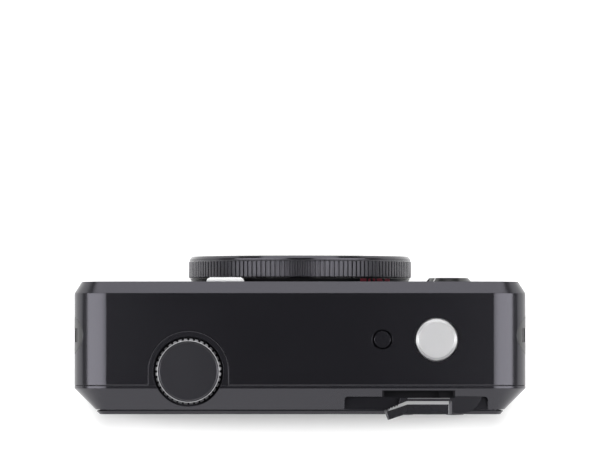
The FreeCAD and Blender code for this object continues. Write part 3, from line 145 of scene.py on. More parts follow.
def finish_of(name, colour, rough, metal=0.0, speckle=0.25, drift=0.12, edge=0.5, grain=6000.0,
              bump=0.04, rough_drift=0.06, edge_rough=-0.08, round_edges=True, **sockets):
    """A surface finish: its colour, grain, slow unevenness, the polish along its edges and a
    lighter colour there, partly wear and partly a painted highlight.
    """
    material = bpy.data.materials.new(name)
    material.use_nodes = True
    tree = material.node_tree
    shader = fill(tree, tree.nodes["Principled BSDF"], {"Metallic": metal})
    fill(tree, shader, {title.replace("_", " "): value for title, value in sockets.items()})
    texture = added(tree, "Group", {"Grain Scale": grain}, node_tree=GRAIN).outputs
    fine = maths(tree, "MULTIPLY_ADD", texture["Speckle"], speckle, 1.0 - speckle / 2)
    slow = maths(tree, "MULTIPLY_ADD", texture["Drift"], drift, 1.0 - drift / 2)
    uneven = maths(tree, "MULTIPLY", fine, slow)
    base = added(tree, "Mix", {"Factor": 1.0, "A": (*colour, 1.0), "B": uneven},
                 data_type="RGBA", blend_type="MULTIPLY").outputs["Result"]
    dull = added(tree, "MapRange", {"Value": texture["Drift"], "To Min": rough - rough_drift,
                                    "To Max": rough + rough_drift}).outputs["Result"]
    normal = added(tree, "Bump", {"Height": texture["Height"], "Strength": bump,
                                  "Distance": GRAIN_DEPTH}).outputs["Normal"]
    if round_edges:
        rim = added(tree, "Group", {"Grain Normal": normal}, node_tree=EDGE).outputs
        # Edges are lightened in colour: partly wear, partly a painted highlight where edges catch
        # the light.
        wear_and_highlight = [min(1.0, part * (1 + EDGE_WEAR_AND_HIGHLIGHT_GAIN * edge) + EDGE_WEAR_AND_HIGHLIGHT_LIFT * edge) for part in colour]
        base = added(tree, "Mix", {"Factor": maths(tree, "MULTIPLY", rim["Edge"], edge), "A": base,
                                   "B": (*wear_and_highlight, 1.0)}, data_type="RGBA").outputs["Result"]
        dull = maths(tree, "MULTIPLY_ADD", rim["Edge"], edge_rough, dull)
        normal = rim["Normal"]
    fill(tree, shader, {"Base Color": base, "Roughness": dull, "Normal": normal})
    return material


def own_place(tree, centre, turn=(0.0, 0.0, 0.0)):
    """The output of the place on a piece, in its own coordinates about a centre, and turned."""
    place = added(tree, "TexCoord").outputs["Object"]
    return added(tree, "Mapping", {"Vector": place, "Location": centre, "Rotation": turn},
                 vector_type="TEXTURE").outputs[0]


def block_mask(material, centre, half, turn=(0.0, 0.0, 0.0)):
    """The output of a mask that is 1 in a block of the piece."""
    tree = material.node_tree
    return added(tree, "Group", {"Vector": own_place(tree, centre, turn), "Half Size": half},
                 node_tree=BLOCK).outputs["Mask"]


def round_mask(material, centre, radius, half_width, within):
    """The output of a mask that is 1 in a ring about an upright axis and inside a block."""
    tree = material.node_tree
    across = vector_maths(tree, "MULTIPLY", own_place(tree, centre), (1.0, 1.0, 0.0))
    band = maths(tree, "COMPARE", vector_maths(tree, "LENGTH", across), radius, half_width)
    return maths(tree, "MULTIPLY", band, block_mask(material, *within))


def overlay(material, masks, colour, rough, metal=None):
    """Lays a second finish over the first where any of the masks is 1."""
    tree = material.node_tree
    shader = tree.nodes["Principled BSDF"]
    where = masks[0]
    for mask in masks[1:]:
        where = maths(tree, "MAXIMUM", where, mask)
    under = shader.inputs["Base Color"].links[0].from_socket
    laid = added(tree, "Mix", {"Factor": where, "A": under, "B": (*colour, 1.0)}, data_type="RGBA")
    under = shader.inputs["Roughness"].links[0].from_socket
    dull = added(tree, "Mix", {"Factor": where, "A": under, "B": rough})
    fill(tree, shader, {"Base Color": laid.outputs["Result"], "Roughness": dull.outputs["Result"]})
    if metal is not None:
        fill(tree, shader, {"Metallic": maths(tree, "MULTIPLY", where, metal)})


def wear(material, *names):
    """Gives CAD nodes a finish."""
    for name in names:
        mesh = nodes[name].data
        for number in range(len(mesh.materials)):
            mesh.materials[number] = material


def middle(node):
    """The middle of a CAD node's box."""
    low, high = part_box(node)
    return (low + high) / 2


PLATE_Z = 0.0910
SEAM_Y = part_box("front_shell")[0].y
DIAL = middle("dial")
DIAL_AXIS = (DIAL.x, DIAL.y, 0.0)
CASING = (0.0046, 0.0045, 0.0060)
COOL = (0.90, 0.88, 1.0, 1.0)
PAINT = dict(speckle=0.3, bump=0.012, rough_drift=0.015, edge_rough=-0.03, Specular_Tint=COOL)
satin_paint = finish_of("satin_paint", CASING, 0.225, edge=0.45, **PAINT)
rear_paint = finish_of("rear_paint", CASING, 0.235, edge=0.9, **PAINT)

# A thin light line along the seam and round the land of the dial: a painted highlight where the
# small bevels on these edges catch the light.
EDGE_LINE_HIGHLIGHT, EDGE_LINE_HIGHLIGHT_ROUGH = (0.045, 0.044, 0.048), 0.35
SEAM_INSET, SEAM_HALF = 0.00020, (0.0560, 0.00016, 0.0008)
overlay(satin_paint, [block_mask(satin_paint, (0.0, SEAM_Y + SEAM_INSET, PLATE_Z), SEAM_HALF)],
        EDGE_LINE_HIGHLIGHT, EDGE_LINE_HIGHLIGHT_ROUGH)
LAND_RADIUS, LAND_REACH, LINE_HALF, LINE_DEEP = 0.01104, 0.0100, 0.00014, 0.0010
half_run = (DIAL.y - SEAM_Y) / 2
land_highlight_lines = [block_mask(rear_paint, (DIAL.x + side * LAND_RADIUS, SEAM_Y + half_run, PLATE_Z),
                         (LINE_HALF, half_run, LINE_DEEP)) for side in (-1, 1)]
before_dial = ((DIAL.x, DIAL.y + LAND_REACH, PLATE_Z), (2 * LAND_REACH, LAND_REACH, LINE_DEEP))
land_highlight_lines.append(round_mask(rear_paint, DIAL_AXIS, LAND_RADIUS, LINE_HALF, before_dial))

# The pocket of the lever is laid near-black inside: painted shade where the light does not reach.
POCKET_SHADE_CENTRE, POCKET_SHADE_HALF = (0.0325, -0.0126, 0.088), (0.0100, 0.0010, 0.0035)
overlay(rear_paint, [block_mask(rear_paint, POCKET_SHADE_CENTRE, POCKET_SHADE_HALF)],
        (0.0006, 0.0006, 0.0007), 0.95)
# The painted highlight lines round the land of the dial.
overlay(rear_paint, land_highlight_lines, EDGE_LINE_HIGHLIGHT, EDGE_LINE_HIGHLIGHT_ROUGH)
wear(satin_paint, "front_shell", "port_door", "small_button")
wear(rear_paint, "rear_shell")

# The film door: a thin moulding with a fine satin face, a shade plainer than the casing.
# It carries the window of the display, hard glass printed black round the picture,
# with the display panel bonded behind it.
door_paint = finish_of("door_paint", (0.0085, 0.0082, 0.0100), 0.44, speckle=0.3, edge=0.6,
                       Specular_Tint=COOL)
wear(door_paint, "film_door")
window_glass = finish_of("window_glass", (0.0025, 0.0025, 0.0030), 0.07, speckle=0.05, drift=0.05,
                         edge=0.2, bump=0.0, rough_drift=0.02, edge_rough=0.0)
PICTURE_CENTRE, PICTURE_HALF = (-0.014, -0.018, 0.0455), (0.0300, 0.0030, 0.0225)
overlay(window_glass, [block_mask(window_glass, PICTURE_CENTRE, PICTURE_HALF)],
        (0.012, 0.013, 0.016), 0.05)
wear(window_glass, "display_window")
panel_dark = finish_of("panel_dark", (0.010, 0.011, 0.013), 0.22, speckle=0.1, grain=9000.0,
                       bump=0.01)
wear(panel_dark, "display_panel")

# The keys and the latch of the rear: moulded in satin black plastic.
# Their marks are generic, filled with white paint: arrowheads, a play wedge,
# three menu bars, a bent return arrow and a cross.
key_plastic = finish_of("key_plastic", (0.012, 0.012, 0.013), 0.36, speckle=0.2, edge=0.4,
                        grain=9000.0)
wear(key_plastic, "direction_pad", "ok_key", "key_back", "key_play", "key_menu", "key_delete",
     "door_latch")
mark_white = finish_of("mark_white", (0.62, 0.62, 0.62), 0.55, speckle=0.15, edge=0.0, bump=0.05,
                       round_edges=False)
MERGE_WITHIN, SMOOTH_UNDER = 0.000002, radians(30.0)


def finished(name, material, body):
    """Closes the active piece: doubles merged, faces outwards, its finish, name and body."""
    piece = bpy.context.active_object
    if piece.mode == "EDIT":
        bpy.ops.object.mode_set(mode="OBJECT")
    bpy.ops.object.transform_apply(location=True, rotation=True, scale=True)
    bpy.ops.object.mode_set(mode="EDIT")
    bpy.ops.mesh.select_all(action="SELECT")
    bpy.ops.mesh.remove_doubles(threshold=MERGE_WITHIN)
    bpy.ops.mesh.normals_make_consistent(inside=False)
    bpy.ops.object.mode_set(mode="OBJECT")
    bpy.ops.object.shade_smooth_by_angle(angle=SMOOTH_UNDER)
    piece.name = name
    piece.data.name = name
    piece.data.materials.clear()
    piece.data.materials.append(material)
    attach(piece, body)


def bar(centre, size, chamfer=None, turn=(0.0, 0.0, 0.0)):
    """A drawn-out block, its edges broken by a fifth of its least side if not told; left active."""
    bpy.ops.object.select_all(action="DESELECT")
    bpy.ops.mesh.primitive_cube_add(size=1.0, location=centre, rotation=turn)
    piece = bpy.context.active_object
    piece.scale = size
    bpy.ops.object.transform_apply(location=False, rotation=False, scale=True)
    bpy.ops.object.mode_set(mode="EDIT")
    bpy.ops.mesh.select_all(action="SELECT")
    bpy.ops.mesh.bevel(offset=chamfer or min(size) / 5, segments=2, affect="EDGES")
    bpy.ops.object.mode_set(mode="OBJECT")
    return piece


def copied(piece, location, turn=None):
    """A copy of a piece with a mesh of its own, at its own place and turned."""
    twin = piece.copy()
    twin.data = piece.data.copy()
    twin.location = location
    if turn:
        twin.rotation_euler = turn
    bpy.context.collection.objects.link(twin)
    return twin


def joined(pieces):
    """One piece of several; it is left active."""
    bpy.ops.object.select_all(action="DESELECT")
    for piece in pieces:
        piece.select_set(True)
    bpy.context.view_layer.objects.active = pieces[0]
    bpy.ops.object.join()


def repeated(piece, moves):
    """One piece of a first one and its copies, each moved from it."""
    joined([piece] + [copied(piece, piece.location + Vector(move)) for move in moves])


MARK_THICK = 0.00008
KEY_FACE_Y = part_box("ok_key")[0].y


def wedge(x, z, radius, point):
    """A flat three-cornered mark on the rear of a key; point is its direction in x and z."""
    bpy.ops.object.select_all(action="DESELECT")
    bpy.ops.mesh.primitive_circle_add(vertices=3, radius=radius, fill_type="NGON",
                                      location=(x, KEY_FACE_Y, z),
                                      rotation=(pi / 2, atan2(*point), 0.0))
    bpy.ops.object.transform_apply(location=False, rotation=True, scale=False)
    bpy.ops.object.mode_set(mode="EDIT")
    bpy.ops.mesh.select_all(action="SELECT")
    bpy.ops.mesh.extrude_region_move(TRANSFORM_OT_translate={"value": (0.0, -MARK_THICK, 0.0)})
    bpy.ops.object.mode_set(mode="OBJECT")
    return bpy.context.active_object


def stroke(x, z, long, wide, turn=0.0):
    """A flat bar-shaped mark on the rear of a key, turned in its own plane."""
    return bar((x, KEY_FACE_Y - MARK_THICK / 2, z), (long, MARK_THICK, wide), turn=(0.0, turn, 0.0))


ARROW_OUT, ARROW_RADIUS = 0.0060, 0.00085
pad = middle("direction_pad")
arrow = wedge(pad.x + ARROW_OUT, pad.z, ARROW_RADIUS, (1, 0))
joined([arrow] + [copied(arrow, (pad.x + ARROW_OUT * dx, KEY_FACE_Y, pad.z + ARROW_OUT * dz),
                         (0.0, atan2(-dz, dx), 0.0)) for dx, dz in ((-1, 0), (0, 1), (0, -1))])
finished("pad_arrows", mark_white, "direction_pad")
PLAY_SHIFT, PLAY_RADIUS = -0.0001, 0.00115
key = middle("key_play")
wedge(key.x + PLAY_SHIFT, key.z, PLAY_RADIUS, (-1, 0))
finished("play_mark", mark_white, "key_play")
STROKE_WIDE, MENU_STEP, MENU_LONG = 0.00030, 0.0007, 0.0020
key = middle("key_menu")
repeated(stroke(key.x, key.z - MENU_STEP, MENU_LONG, STROKE_WIDE),
         [(0.0, 0.0, MENU_STEP), (0.0, 0.0, 2 * MENU_STEP)])
finished("menu_mark", mark_white, "key_menu")
BACK_IN, BACK_RISE, BACK_LONG = 0.0002, 0.0004, 0.0017
TAIL_OUT, TAIL_DROP, TAIL_LONG = 0.0009, 0.0001, 0.0013
POINT_OUT, POINT_RADIUS = 0.0008, 0.00070
key = middle("key_back")
joined([stroke(key.x - BACK_IN, key.z + BACK_RISE, BACK_LONG, STROKE_WIDE),
        stroke(key.x - TAIL_OUT, key.z - TAIL_DROP, STROKE_WIDE, TAIL_LONG),
        wedge(key.x + POINT_OUT, key.z + BACK_RISE, POINT_RADIUS, (1, 0))])
finished("back_mark", mark_white, "key_back")
CROSS_LONG, CROSS_WIDE, CROSS_TURN = 0.0022, 0.00032, radians(45.0)
key = middle("key_delete")
cross = stroke(key.x, key.z, CROSS_LONG, CROSS_WIDE, CROSS_TURN)
joined([cross, copied(cross, cross.location, (0.0, -CROSS_TURN, 0.0))])
finished("delete_mark", mark_white, "key_delete")


def turned(name, profile, centre, axis, material, body, steps=96):
    """A turned ring: a closed profile of (radius, height) pairs spun round an axis."""
    out = Vector((1.0, 0.0, 0.0))
    bpy.ops.object.select_all(action="DESELECT")
    bpy.ops.mesh.primitive_circle_add(vertices=len(profile), radius=0.001, location=(0.0, 0.0, 0.0))
    piece = bpy.context.active_object
    for vertex, (radius, height) in zip(piece.data.vertices, profile):
        vertex.co = Vector(centre) + out * radius + Vector(axis) * height
    bpy.ops.object.mode_set(mode="EDIT")
    bpy.ops.mesh.select_all(action="SELECT")
    bpy.ops.mesh.spin(steps=steps, angle=2 * pi, center=centre, axis=axis)
    finished(name, material, body)


RING_IN, RING_OUT, RING_SUNK = 0.0013, 0.0016, 0.00001
key = middle("ok_key")
turned("ok_ring", [(RING_IN, -RING_SUNK), (RING_OUT, -RING_SUNK), (RING_OUT, MARK_THICK),
                   (RING_IN, MARK_THICK)],
       (key.x, KEY_FACE_Y, key.z), (0.0, -1.0, 0.0), mark_white, "ok_key", steps=40)

# The lens: a fixed neck, a ribbed turning ring and a bezel round the front glass.
# The ring is milled from metal and finished satin black; its lip, the neck and the bezel
# are polished black, and five plain red ticks are engraved and filled on the neck.
ring_anodised = finish_of("ring_anodised", (0.0056, 0.0055, 0.0064), 0.29, edge=0.7, bump=0.02,
                          Specular_Tint=COOL)
LIP_CENTRE, LIP_HALF = (0.0, 0.02505, 0.044), (0.040, 0.00042, 0.040)
overlay(ring_anodised, [block_mask(ring_anodised, LIP_CENTRE, LIP_HALF)],
        (0.0012, 0.0012, 0.0016), 0.10)
wear(ring_anodised, "lens_ring")
POLISHED = (0.0040, 0.0040, 0.0045)
GLOSS = dict(speckle=0.1, edge=0.4, bump=0.01, rough_drift=0.03)
gloss_black = finish_of("gloss_black", POLISHED, 0.14, **GLOSS)
wear(gloss_black, "lens_bezel", "front_button", "lens_barrel")
neck_black = finish_of("neck_black", POLISHED, 0.16, **GLOSS)
TICKS = ((0.01664, 0.01840), (0.01885, 0.01950), (0.0202, 0.0208), (0.0213, 0.02285),
         (0.0235, 0.0249))
TICK_Y, TICK_HALF_Y, TICK_Z, TICK_HALF_Z = 0.01875, 0.00045, 0.066, 0.012
ticks = [block_mask(neck_black, ((left + right) / 2, TICK_Y, TICK_Z),
                    ((right - left) / 2, TICK_HALF_Y, TICK_HALF_Z)) for left, right in TICKS]
overlay(neck_black, ticks, (0.16, 0.020, 0.032), 0.4)
wear(neck_black, "lens_base_ring")
flock_black = finish_of("flock_black", (0.004, 0.004, 0.004), 0.85, speckle=0.4, edge=0.0, bump=0.3,
                        round_edges=False)
wear(flock_black, "lens_carrier")
sensor_face = finish_of("sensor_face", (0.030, 0.036, 0.045), 0.25, speckle=0.3, edge=0.2,
                        grain=12000.0, bump=0.02, round_edges=False)
wear(sensor_face, "image_sensor")

# Inside the barrel: blackened steps catch stray light, and six thin steel leaves,
# each lapped a little over the next, form the iris.
LENS = middle("front_glass")
LENS_AXIS = (0.0, 1.0, 0.0)
BAFFLE_Y, BAFFLE_LONG, BAFFLE_OUT, BAFFLE_STEPS = 0.0125, 0.0058, 0.01095, 7
BAFFLE_BORE, BAFFLE_GAIN, STEP_UNDERCUT, STEP_GAP = 0.0072, 0.0022, 0.00025, 0.00005
steps_profile = [(BAFFLE_OUT, 0.0)]
for number in range(BAFFLE_STEPS):
    near, far = (BAFFLE_LONG * count / BAFFLE_STEPS for count in (number, number + 1))
    bore = BAFFLE_BORE + BAFFLE_GAIN * (number + 1) / BAFFLE_STEPS
    steps_profile += [(bore - STEP_UNDERCUT, near + STEP_GAP), (bore, far - STEP_GAP)]
steps_profile.append((BAFFLE_OUT, BAFFLE_LONG))
turned("baffle_steps", steps_profile, (LENS.x, BAFFLE_Y, LENS.z), LENS_AXIS, flock_black, "root",
       steps=64)
leaf_steel = finish_of("leaf_steel", (0.018, 0.018, 0.020), 0.34, metal=0.6, speckle=0.2, edge=0.2,
                       round_edges=False)
LEAVES, LEAF_OUT, LEAF_Y, LEAF_LIFT = 6, 0.0060, 0.0117, radians(2.5)
LEAF_SIZE = (0.0092, 0.00012, 0.0056)
leaf = bar((LENS.x, LEAF_Y, LENS.z + LEAF_OUT), LEAF_SIZE, turn=(LEAF_LIFT, 0.0, 0.0))
leaves = [leaf]
for number in range(1, LEAVES):
    turn = number * 2 * pi / LEAVES
    place = (LENS.x + LEAF_OUT * sin(turn), LEAF_Y, LENS.z + LEAF_OUT * cos(turn))
    leaves.append(copied(leaf, place, (LEAF_LIFT, turn, 0.0)))
joined(leaves)
finished("iris_leaves", leaf_steel, "root")

# The front and rear glasses: coated optical glass, clear with a violet bloom.
# A threaded ring with two slots for a spanner holds the front one in the barrel.
coated_glass = finish_of("coated_glass", (0.86, 0.84, 0.93), 0.02, speckle=0.02, drift=0.06,
                         edge=0.0, bump=0.0, rough_drift=0.005, round_edges=False, IOR=1.52,
                         Transmission_Weight=1.0, Coat_Weight=0.6, Coat_Roughness=0.02,
                         Coat_Tint=(0.75, 0.70, 1.0, 1.0))
wear(coated_glass, "front_glass", "rear_glass")
LENS_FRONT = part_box("front_glass")[1].y
ring_black = finish_of("ring_black", (0.006, 0.006, 0.0065), 0.30, speckle=0.2, bump=0.02)
HOLD_IN, HOLD_OUT, HOLD_LONG, HOLD_DEEP = 0.01010, 0.01092, 0.00080, 0.0013
HOLD_BEVEL, BEVEL_IN, BEVEL_OUT = 0.00020, 0.00015, 0.00017
retainer_profile = [(HOLD_IN, 0.0), (HOLD_OUT, 0.0), (HOLD_OUT, HOLD_LONG - HOLD_BEVEL),
                    (HOLD_OUT - BEVEL_OUT, HOLD_LONG), (HOLD_IN + BEVEL_IN, HOLD_LONG),
                    (HOLD_IN, HOLD_LONG - HOLD_BEVEL)]
turned("front_retainer", retainer_profile, (LENS.x, LENS_FRONT - HOLD_DEEP, LENS.z), LENS_AXIS,
       ring_black, "root")
SPANNER_OUT, SPANNER_DEEP, SPANNER_SIZE = 0.0105, 0.00045, (0.0007, 0.00012, 0.0013)
spanner_slot = bar((LENS.x - SPANNER_OUT, LENS_FRONT - SPANNER_DEEP, LENS.z), SPANNER_SIZE,
                   chamfer=0.00002)
repeated(spanner_slot, [(2 * SPANNER_OUT, 0.0, 0.0)])
finished("spanner_slots", flock_black, "root")

# The flash: a frosted acrylic window in front of a bright reflector and its tube.
# Fine upright ribs moulded on the window's face spread the light.
flash_lens = finish_of("flash_lens", (0.95, 0.95, 0.96), 0.16, speckle=0.04, drift=0.05, edge=0.0,
                       bump=0.05, round_edges=False)
wear(flash_lens, "flash_window")
bright_reflector = finish_of("bright_reflector", (0.75, 0.76, 0.78), 0.12, metal=1.0, edge=0.0,
                             bump=0.01, round_edges=False)
wear(bright_reflector, "flash_reflector", "flash_tube", "mirror")
flash_low, flash_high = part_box("flash_window")
RIBS, RIB_SIDE, RIB_END, RIB_SHARE, RIB_THICK = 18, 0.0008, 0.0009, 0.72, 0.00030
rib_step = (flash_high.x - flash_low.x - 2 * RIB_SIDE) / RIBS
rib = bar((flash_low.x + RIB_SIDE + rib_step / 2, flash_high.y, middle("flash_window").z),
          (rib_step * RIB_SHARE, RIB_THICK, flash_high.z - flash_low.z - 2 * RIB_END),
          chamfer=0.00010)
repeated(rib, [(rib_step * number, 0.0, 0.0) for number in range(1, RIBS)])
finished("flash_ribs", flash_lens, "root")

# The shutter button: turned from aluminium and anodised satin silver.
# The tool of the lathe leaves very fine rings about its middle.
silver_anodised = finish_of("silver_anodised", (0.545, 0.545, 0.555), 0.40, metal=0.35,
                            speckle=0.10, drift=0.05, grain=4000.0, bump=0.06)
wear(silver_anodised, "shutter_button")
button = middle("shutter_button")
tree = silver_anodised.node_tree
centred = own_place(tree, (button.x, button.y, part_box("shutter_button")[1].z))
TOOL_RINGS, TOOL_WANDER, TOOL_STRENGTH, TOOL_DEPTH = 1800.0, 0.4, 0.12, 0.00002
rings = added(tree, "TexWave", {"Vector": centred, "Scale": TOOL_RINGS, "Distortion": TOOL_WANDER},
              wave_type="RINGS", rings_direction="Z")
rim = next(node for node in tree.nodes if node.type == "GROUP" and node.node_tree == EDGE)
tool_marks = added(tree, "Bump", {"Height": rings.outputs["Fac"], "Strength": TOOL_STRENGTH,
                                  "Distance": TOOL_DEPTH,
                                  "Normal": rim.inputs["Grain Normal"].links[0].from_socket})
fill(tree, rim, {"Grain Normal": tool_marks.outputs["Normal"]})

# The dial: turned and milled from metal, and finished satin black.
# The bevel of its toothed rim is bare cut metal, made lighter as a painted highlight, and just
# inside it a bright ring and a fine lighter line are painted highlights of the rim catching the
# light.
dial_anodised = finish_of("dial_anodised", (0.0095, 0.0094, 0.0110), 0.30, edge=0.6, bump=0.02,
                          Specular_Tint=COOL)
DIAL_FACE = ((DIAL.x, DIAL.y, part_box("dial")[1].z), (0.0100, 0.0100, 0.0012))
# Rings of painted highlight at the rim; the outer one is also bare metal.
for radius, half_width, colour, rough, metal in (
        (0.00875, 0.00025, (0.12, 0.12, 0.125), 0.30, 0.9),
        (0.00842, 0.00010, (0.42, 0.42, 0.43), 0.35, None),
        (0.00790, 0.00007, (0.060, 0.060, 0.062), 0.30, None)):
    overlay(dial_anodised, [round_mask(dial_anodised, DIAL_AXIS, radius, half_width, DIAL_FACE)],
            colour, rough, metal)
wear(dial_anodised, "dial")

# The power collar round the front release: a cone of polished black.
# One index line is cut across it and filled with white.
collar_black = finish_of("collar_black", POLISHED, 0.16, **GLOSS)
COLLAR = middle("power_collar")
INDEX_TURN, INDEX_OUT, INDEX_HALF = radians(47.0), 0.0060, (0.0012, 0.0040, 0.00022)
index_centre = (COLLAR.x - INDEX_OUT * cos(INDEX_TURN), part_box("power_collar")[1].y,
                COLLAR.z + INDEX_OUT * sin(INDEX_TURN))
index_line = block_mask(collar_black, index_centre, INDEX_HALF, turn=(0.0, INDEX_TURN, 0.0))
overlay(collar_black, [index_line], (0.75, 0.75, 0.75), 0.5)
wear(collar_black, "power_collar")

# The print lever: satin dark metal, its finger bent and serrated.
# The arm in the pocket is laid near-black as painted shade; the front edge of its ledge and the
# bevel along the grip, where it faces up to the light, carry painted highlights.
lever_anodised = finish_of("lever_anodised", (0.0085, 0.0084, 0.0100), 0.28, edge=0.8, speckle=0.2,
                           Specular_Tint=COOL)
tree = lever_anodised.node_tree
SLOPE, SLOPE_RANGE = 0.70, 0.17
facing = added(tree, "SeparateXYZ", {0: added(tree, "NewGeometry").outputs["True Normal"]})
sloped = maths(tree, "COMPARE", facing.outputs["Z"], SLOPE, SLOPE_RANGE)
GRIP_Y, GRIP_HALF_Y, GRIP_Z, GRIP_HALF_Z = -0.0150, 0.0060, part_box("print_lever")[1].z, 0.0013


def bevel_highlight_mask(left, right):
    """The output of a mask of the bevel, where it slopes up to the light, between two distances
    along the grip: the place of its painted highlight.
    """
    along = block_mask(lever_anodised, ((left + right) / 2, GRIP_Y, GRIP_Z),
                       ((right - left) / 2, GRIP_HALF_Y, GRIP_HALF_Z))
    return maths(tree, "MULTIPLY", sloped, along)


ARM_SHADE_CENTRE, ARM_SHADE_HALF = (0.0330, -0.0127, 0.0865), (0.0095, 0.0010, 0.0030)
LEDGE_HIGHLIGHT_CENTRE, LEDGE_HIGHLIGHT_HALF = (0.0353, -0.01383, 0.0865), (0.0058, 0.00013, 0.0040)
# Painted shade: the arm in the pocket is laid near-black.
overlay(lever_anodised, [block_mask(lever_anodised, ARM_SHADE_CENTRE, ARM_SHADE_HALF)],
        (0.0008, 0.0008, 0.0009), 0.95)
# Painted highlight: a light line along the front edge of the ledge.
overlay(lever_anodised, [block_mask(lever_anodised, LEDGE_HIGHLIGHT_CENTRE, LEDGE_HIGHLIGHT_HALF)],
        (0.17, 0.17, 0.175), 0.40)
BEVEL_SHEEN_SPAN, BEVEL_HIGHLIGHT_SPAN = (0.0200, 0.0430), (0.0243, 0.0408)
# Painted highlights: a lighter band and a bright band where the bevel faces up to the light.
overlay(lever_anodised, [bevel_highlight_mask(*BEVEL_SHEEN_SPAN)], (0.10, 0.10, 0.105), 0.40)
overlay(lever_anodised, [bevel_highlight_mask(*BEVEL_HIGHLIGHT_SPAN)], (0.54, 0.54, 0.55), 0.42)
wear(lever_anodised, "print_lever")

# The lugs at the ends: metal castings in a satin dark finish, each with a bar for a strap.
# Inside are steel sheet, a wound motor, moulded gears, rubber rollers, boards and a battery.
# Each of these nodes takes the finish that stands for its own material slot.
brass = finish_of("brass", (0.52, 0.40, 0.20), 0.32, metal=1.0, edge=0.3)
lug_black = finish_of("lug_black", (0.020, 0.020, 0.022), 0.34, edge=0.8)
wrap_black = finish_of("wrap_black", (0.02, 0.02, 0.03), 0.35, edge=0.1)
slot_finish = {
    "steel": finish_of("plain_steel", (0.42, 0.42, 0.43), 0.30, metal=1.0, edge=0.3, bump=0.02),
    "bearing_brass": brass,
    "lug_metal": lug_black,
    "motor_can": finish_of("can_steel", (0.35, 0.35, 0.36), 0.35, metal=1.0, edge=0.3),
    "chassis_metal": finish_of("sheet_steel", (0.22, 0.22, 0.23), 0.42, metal=1.0, edge=0.3),
    "film_cassette": finish_of("film_plastic", (0.018, 0.018, 0.020), 0.55, edge=0.3),
    "circuit_board": finish_of("board_green", (0.010, 0.050, 0.024), 0.45, edge=0.1),
    "battery_sleeve": finish_of("wrap_blue", (0.020, 0.045, 0.11), 0.4, edge=0.1),
    "capacitor_sleeve": wrap_black,
    "roller_rubber": finish_of("rubber", (0.020, 0.020, 0.021), 0.75, edge=0.1, bump=0.1),
    "gear_plastic": finish_of("gear_white", (0.62, 0.60, 0.54), 0.42, edge=0.2),
    "inner_black": flock_black, "reflector": bright_reflector, "lever_black": lever_anodised,
    "casing": satin_paint, "ring_black": ring_anodised,
}
wear(lug_black, "strap_bars")
for node in nodes.values():
    for number, material in enumerate(node.data.materials):
        slot = material.name.split(".")[0] if material else None
        if slot in slot_finish:
            node.data.materials[number] = slot_finish[slot]

# The sockets behind the port door: a tongue with gilt contacts stands in the round-ended
# mouth of the charging socket, and a row of sprung contacts lies in the card slot.
gilt = finish_of("gilt", (0.80, 0.58, 0.22), 0.24, metal=1.0, edge=0.2, bump=0.01)
ROW = 7
usb, usb_mouth = middle("usb_socket"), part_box("usb_socket")[1].x
TONGUE_IN, TONGUE_SIZE = 0.0030, (0.0044, 0.0006, 0.0060)
bar((usb_mouth - TONGUE_IN, usb.y, usb.z), TONGUE_SIZE, chamfer=0.00015)
finished("usb_tongue", wrap_black, "root")
STRIP_IN, STRIP_OUT, STRIP_STEP, STRIP_SIZE = 0.0026, 0.00032, 0.0008, (0.0032, 0.00006, 0.00035)
strip = bar((usb_mouth - STRIP_IN, usb.y - STRIP_OUT, usb.z - STRIP_STEP * (ROW // 2)), STRIP_SIZE)
repeated(strip, [(0.0, side * 2 * STRIP_OUT, STRIP_STEP * step)
                 for step in range(ROW) for side in (0, 1) if step or side])
finished("usb_contacts", gilt, "root")
SPRING_IN, SPRING_STEP, SPRING_TURN = 0.0045, 0.00085, radians(3.0)
SPRING_SIZE = (0.0050, 0.00012, 0.00045)
card, card_mouth = middle("card_socket"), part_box("card_socket")[1].x
spring = bar((card_mouth - SPRING_IN, card.y - SPRING_SIZE[1], card.z - SPRING_STEP * (ROW // 2)),
             SPRING_SIZE, turn=(0.0, 0.0, SPRING_TURN))
repeated(spring, [(0.0, 0.0, SPRING_STEP * step) for step in range(1, ROW)])
finished("card_contacts", gilt, "root")

# The tripod bush: brass, with a helical thread cut in its bore.
# The thread is drawn as one ridge wound at the pitch of a camera screw.
THREAD_PITCH, THREAD_TURNS, THREAD_START = 0.00127, 3, 0.0006
BORE, RIDGE_HIGH, RIDGE_HALF, RIDGE_SUNK = 0.0026, 0.00030, 0.00035, 0.00002
bpy.ops.object.select_all(action="DESELECT")
bpy.ops.mesh.primitive_circle_add(vertices=3, radius=RIDGE_HALF, location=(0.0, 0.0, 0.0))
thread = bpy.context.active_object
ridge = ((BORE + RIDGE_SUNK, -RIDGE_HALF), (BORE - RIDGE_HIGH, 0.0),
         (BORE + RIDGE_SUNK, RIDGE_HALF))
for vertex, (radius, height) in zip(thread.data.vertices, ridge):
    vertex.co = Vector((radius, 0.0, THREAD_START + height))
screw = thread.modifiers.new("thread", "SCREW")
screw.axis = "Z"
screw.angle = 2 * pi
screw.screw_offset = THREAD_PITCH
screw.iterations = THREAD_TURNS
screw.steps = screw.render_steps = 32
screw.use_merge_vertices = True
bpy.ops.object.modifier_apply(modifier="thread")
finished("bush_thread", brass, "root")

